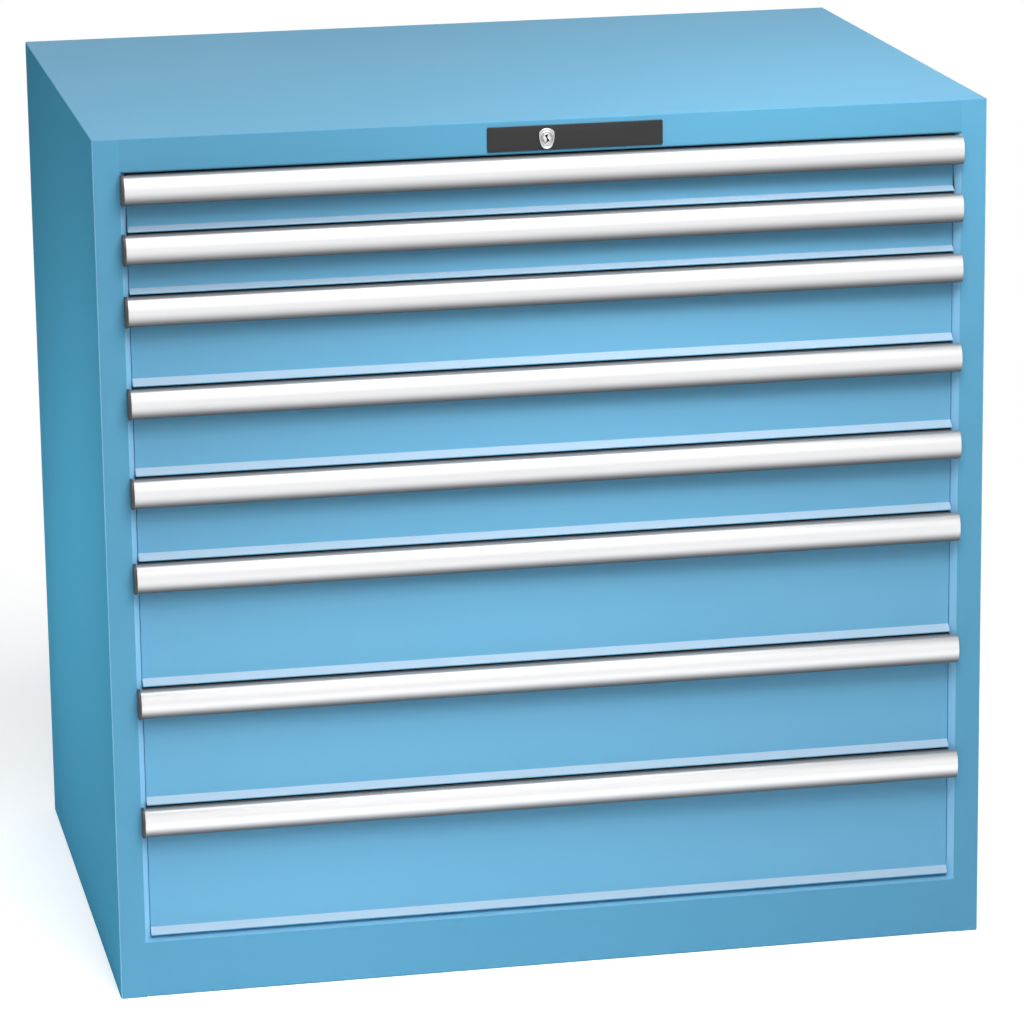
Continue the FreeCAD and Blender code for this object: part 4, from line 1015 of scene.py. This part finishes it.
class CABINET_OT_studio(bpy.types.Operator):
    """Set up the floor, the white surroundings, the lamps and the camera"""

    bl_idname = "cabinet.studio"
    bl_label = "Studio"

    def execute(self, context):
        studio = context.scene.cabinet_studio
        scene = context.scene
        scene.view_settings.view_transform = "Standard"
        self.world(scene, studio)
        self.floor()
        soft_lamp("overhead_lamp", (0.3, -0.9, 3.6), (0.1, -0.1, 0.8), 2.6, 1.6, studio.overhead)
        soft_lamp("high_lamp", (0.2, -1.9, 3.3), (0.0, -0.3, 0.5), 2.4, 1.6, studio.high)
        soft_lamp("key_lamp", (0.7, -3.4, 3.3), (0.0, -0.3, 0.5), 2.6, 2.2, studio.key)
        soft_lamp("fill_lamp", (-4.0, -0.2, 1.6), (-0.5, 0, 0.5), 2.4, 2.4, studio.fill)
        soft_lamp("rear_lamp", (1.0, 3.6, 0.5), (0.0, 0.3, 0.5), 2.4, 0.8, studio.rear)
        strip_lamp("band_lamp", (-0.03, -1.35, 1.5), (-0.03, -0.35, 0.5), 0.15, 2.2, studio.band, -41.5, 50)
        strip_lamp("side_strip", (-0.98, 0.01, 0.47), (-0.51, 0.01, 0.47), 0.15, 0.95, studio.strip, -61, 180)
        self.camera(scene, studio)
        return {"FINISHED"}

    def world(self, scene, studio):
        world = bpy.data.worlds.new("white_surroundings")
        world.use_nodes = True
        nodes = world.node_tree.nodes
        links = world.node_tree.links
        strength = nodes.new("ShaderNodeMapRange")
        strength.inputs["To Min"].default_value = studio.sky
        strength.inputs["To Max"].default_value = 1.0
        links.new(seen_share(nodes, links), strength.inputs["Value"])
        nodes["Background"].inputs["Color"].default_value = (1, 1, 1, 1)
        links.new(strength.outputs["Result"], nodes["Background"].inputs["Strength"])
        scene.world = world

    def floor(self):
        surface = Surface()
        run = np.linspace(-30, 30, 3)
        grid = np.stack(np.meshgrid(run, run, indexing="xy"), axis=-1)
        surface.grid(np.concatenate([grid, np.zeros(grid.shape[:2] + (1,))], axis=2))
        material = bpy.data.materials.new("pale_floor")
        material.use_nodes = True
        nodes = material.node_tree.nodes
        links = material.node_tree.links
        nodes.remove(nodes["Principled BSDF"])
        seen = seen_share(nodes, links)
        diffuse = nodes.new("ShaderNodeBsdfDiffuse")
        diffuse.inputs["Color"].default_value = (0.9, 0.9, 0.9, 1)
        glow = nodes.new("ShaderNodeEmission")
        both = nodes.new("ShaderNodeAddShader")
        share = nodes.new("ShaderNodeMath")
        share.operation = "MULTIPLY"
        share.inputs[1].default_value = 0.5
        links.new(seen, share.inputs[0])
        links.new(share.outputs[0], glow.inputs["Strength"])
        links.new(diffuse.outputs[0], both.inputs[0])
        links.new(glow.outputs[0], both.inputs[1])
        # Away from the object the floor is plain white to whatever sees it
        place = nodes.new("ShaderNodeTexCoord")
        reach = nodes.new("ShaderNodeVectorMath")
        reach.operation = "LENGTH"
        links.new(place.outputs["Object"], reach.inputs[0])
        far = nodes.new("ShaderNodeMapRange")
        far.interpolation_type = "SMOOTHSTEP"
        far.inputs["From Min"].default_value = 0.9
        far.inputs["From Max"].default_value = 2.2
        links.new(reach.outputs["Value"], far.inputs["Value"])
        fade = nodes.new("ShaderNodeMath")
        fade.operation = "MULTIPLY"
        links.new(far.outputs["Result"], fade.inputs[0])
        links.new(seen, fade.inputs[1])
        white = nodes.new("ShaderNodeEmission")
        mixed = nodes.new("ShaderNodeMixShader")
        links.new(fade.outputs[0], mixed.inputs[0])
        links.new(both.outputs[0], mixed.inputs[1])
        links.new(white.outputs[0], mixed.inputs[2])
        links.new(mixed.outputs[0], nodes["Material Output"].inputs["Surface"])
        surface.piece("floor", [material])

    def camera(self, scene, studio):
        turn = studio.camera_turn
        tilt = studio.camera_tilt
        ahead = np.array([math.sin(turn) * math.cos(tilt), math.cos(turn) * math.cos(tilt), -math.sin(tilt)])
        level = np.array([math.cos(turn), -math.sin(turn), 0.0])
        above = np.cross(level, ahead)
        roll = studio.camera_roll
        right = math.cos(roll) * level + math.sin(roll) * above
        up = math.cos(roll) * above - math.sin(roll) * level
        data = bpy.data.cameras.new("camera")
        data.lens = studio.lens
        data.sensor_width = 36
        data.clip_end = 200
        item = bpy.data.objects.new("camera", data)
        scene.collection.objects.link(item)
        axes = Matrix(np.stack([right, up, -ahead], axis=1).tolist()).to_4x4()
        item.matrix_world = Matrix.Translation(studio.camera_place) @ axes
        scene.camera = item


class CABINET_PT_panel(bpy.types.Panel):
    """Lists the cabinet's pieces, sizes and colours"""

    bl_idname = "CABINET_PT_panel"
    bl_label = "Drawer cabinet"
    bl_space_type = "VIEW_3D"
    bl_region_type = "UI"
    bl_category = "Cabinet"

    def draw(self, context):
        for operator in OPERATORS:
            self.layout.operator(operator.bl_idname)
        for group in ("cabinet_sizes", "cabinet_colours", "cabinet_studio"):
            settings = getattr(context.scene, group)
            box = self.layout.box()
            for name in settings.__annotations__:
                box.prop(settings, name)


OPERATORS = (
    CABINET_OT_housing,
    CABINET_OT_fronts,
    CABINET_OT_grips,
    CABINET_OT_end_caps,
    CABINET_OT_boxes,
    CABINET_OT_runners,
    CABINET_OT_lock,
    CABINET_OT_studio,
)
CLASSES = (CabinetSizes, CabinetColours, CabinetStudio) + OPERATORS + (CABINET_PT_panel,)


def register():
    for item in CLASSES:
        bpy.utils.register_class(item)
    bpy.types.Scene.cabinet_sizes = bpy.props.PointerProperty(type=CabinetSizes)
    bpy.types.Scene.cabinet_colours = bpy.props.PointerProperty(type=CabinetColours)
    bpy.types.Scene.cabinet_studio = bpy.props.PointerProperty(type=CabinetStudio)


def unregister():
    del bpy.types.Scene.cabinet_sizes
    del bpy.types.Scene.cabinet_colours
    del bpy.types.Scene.cabinet_studio
    for item in reversed(CLASSES):
        bpy.utils.unregister_class(item)


def main():
    register()
    for operator in OPERATORS:
        group, name = operator.bl_idname.split(".")
        getattr(getattr(bpy.ops, group), name)()


if __name__ == "__main__":
    main()
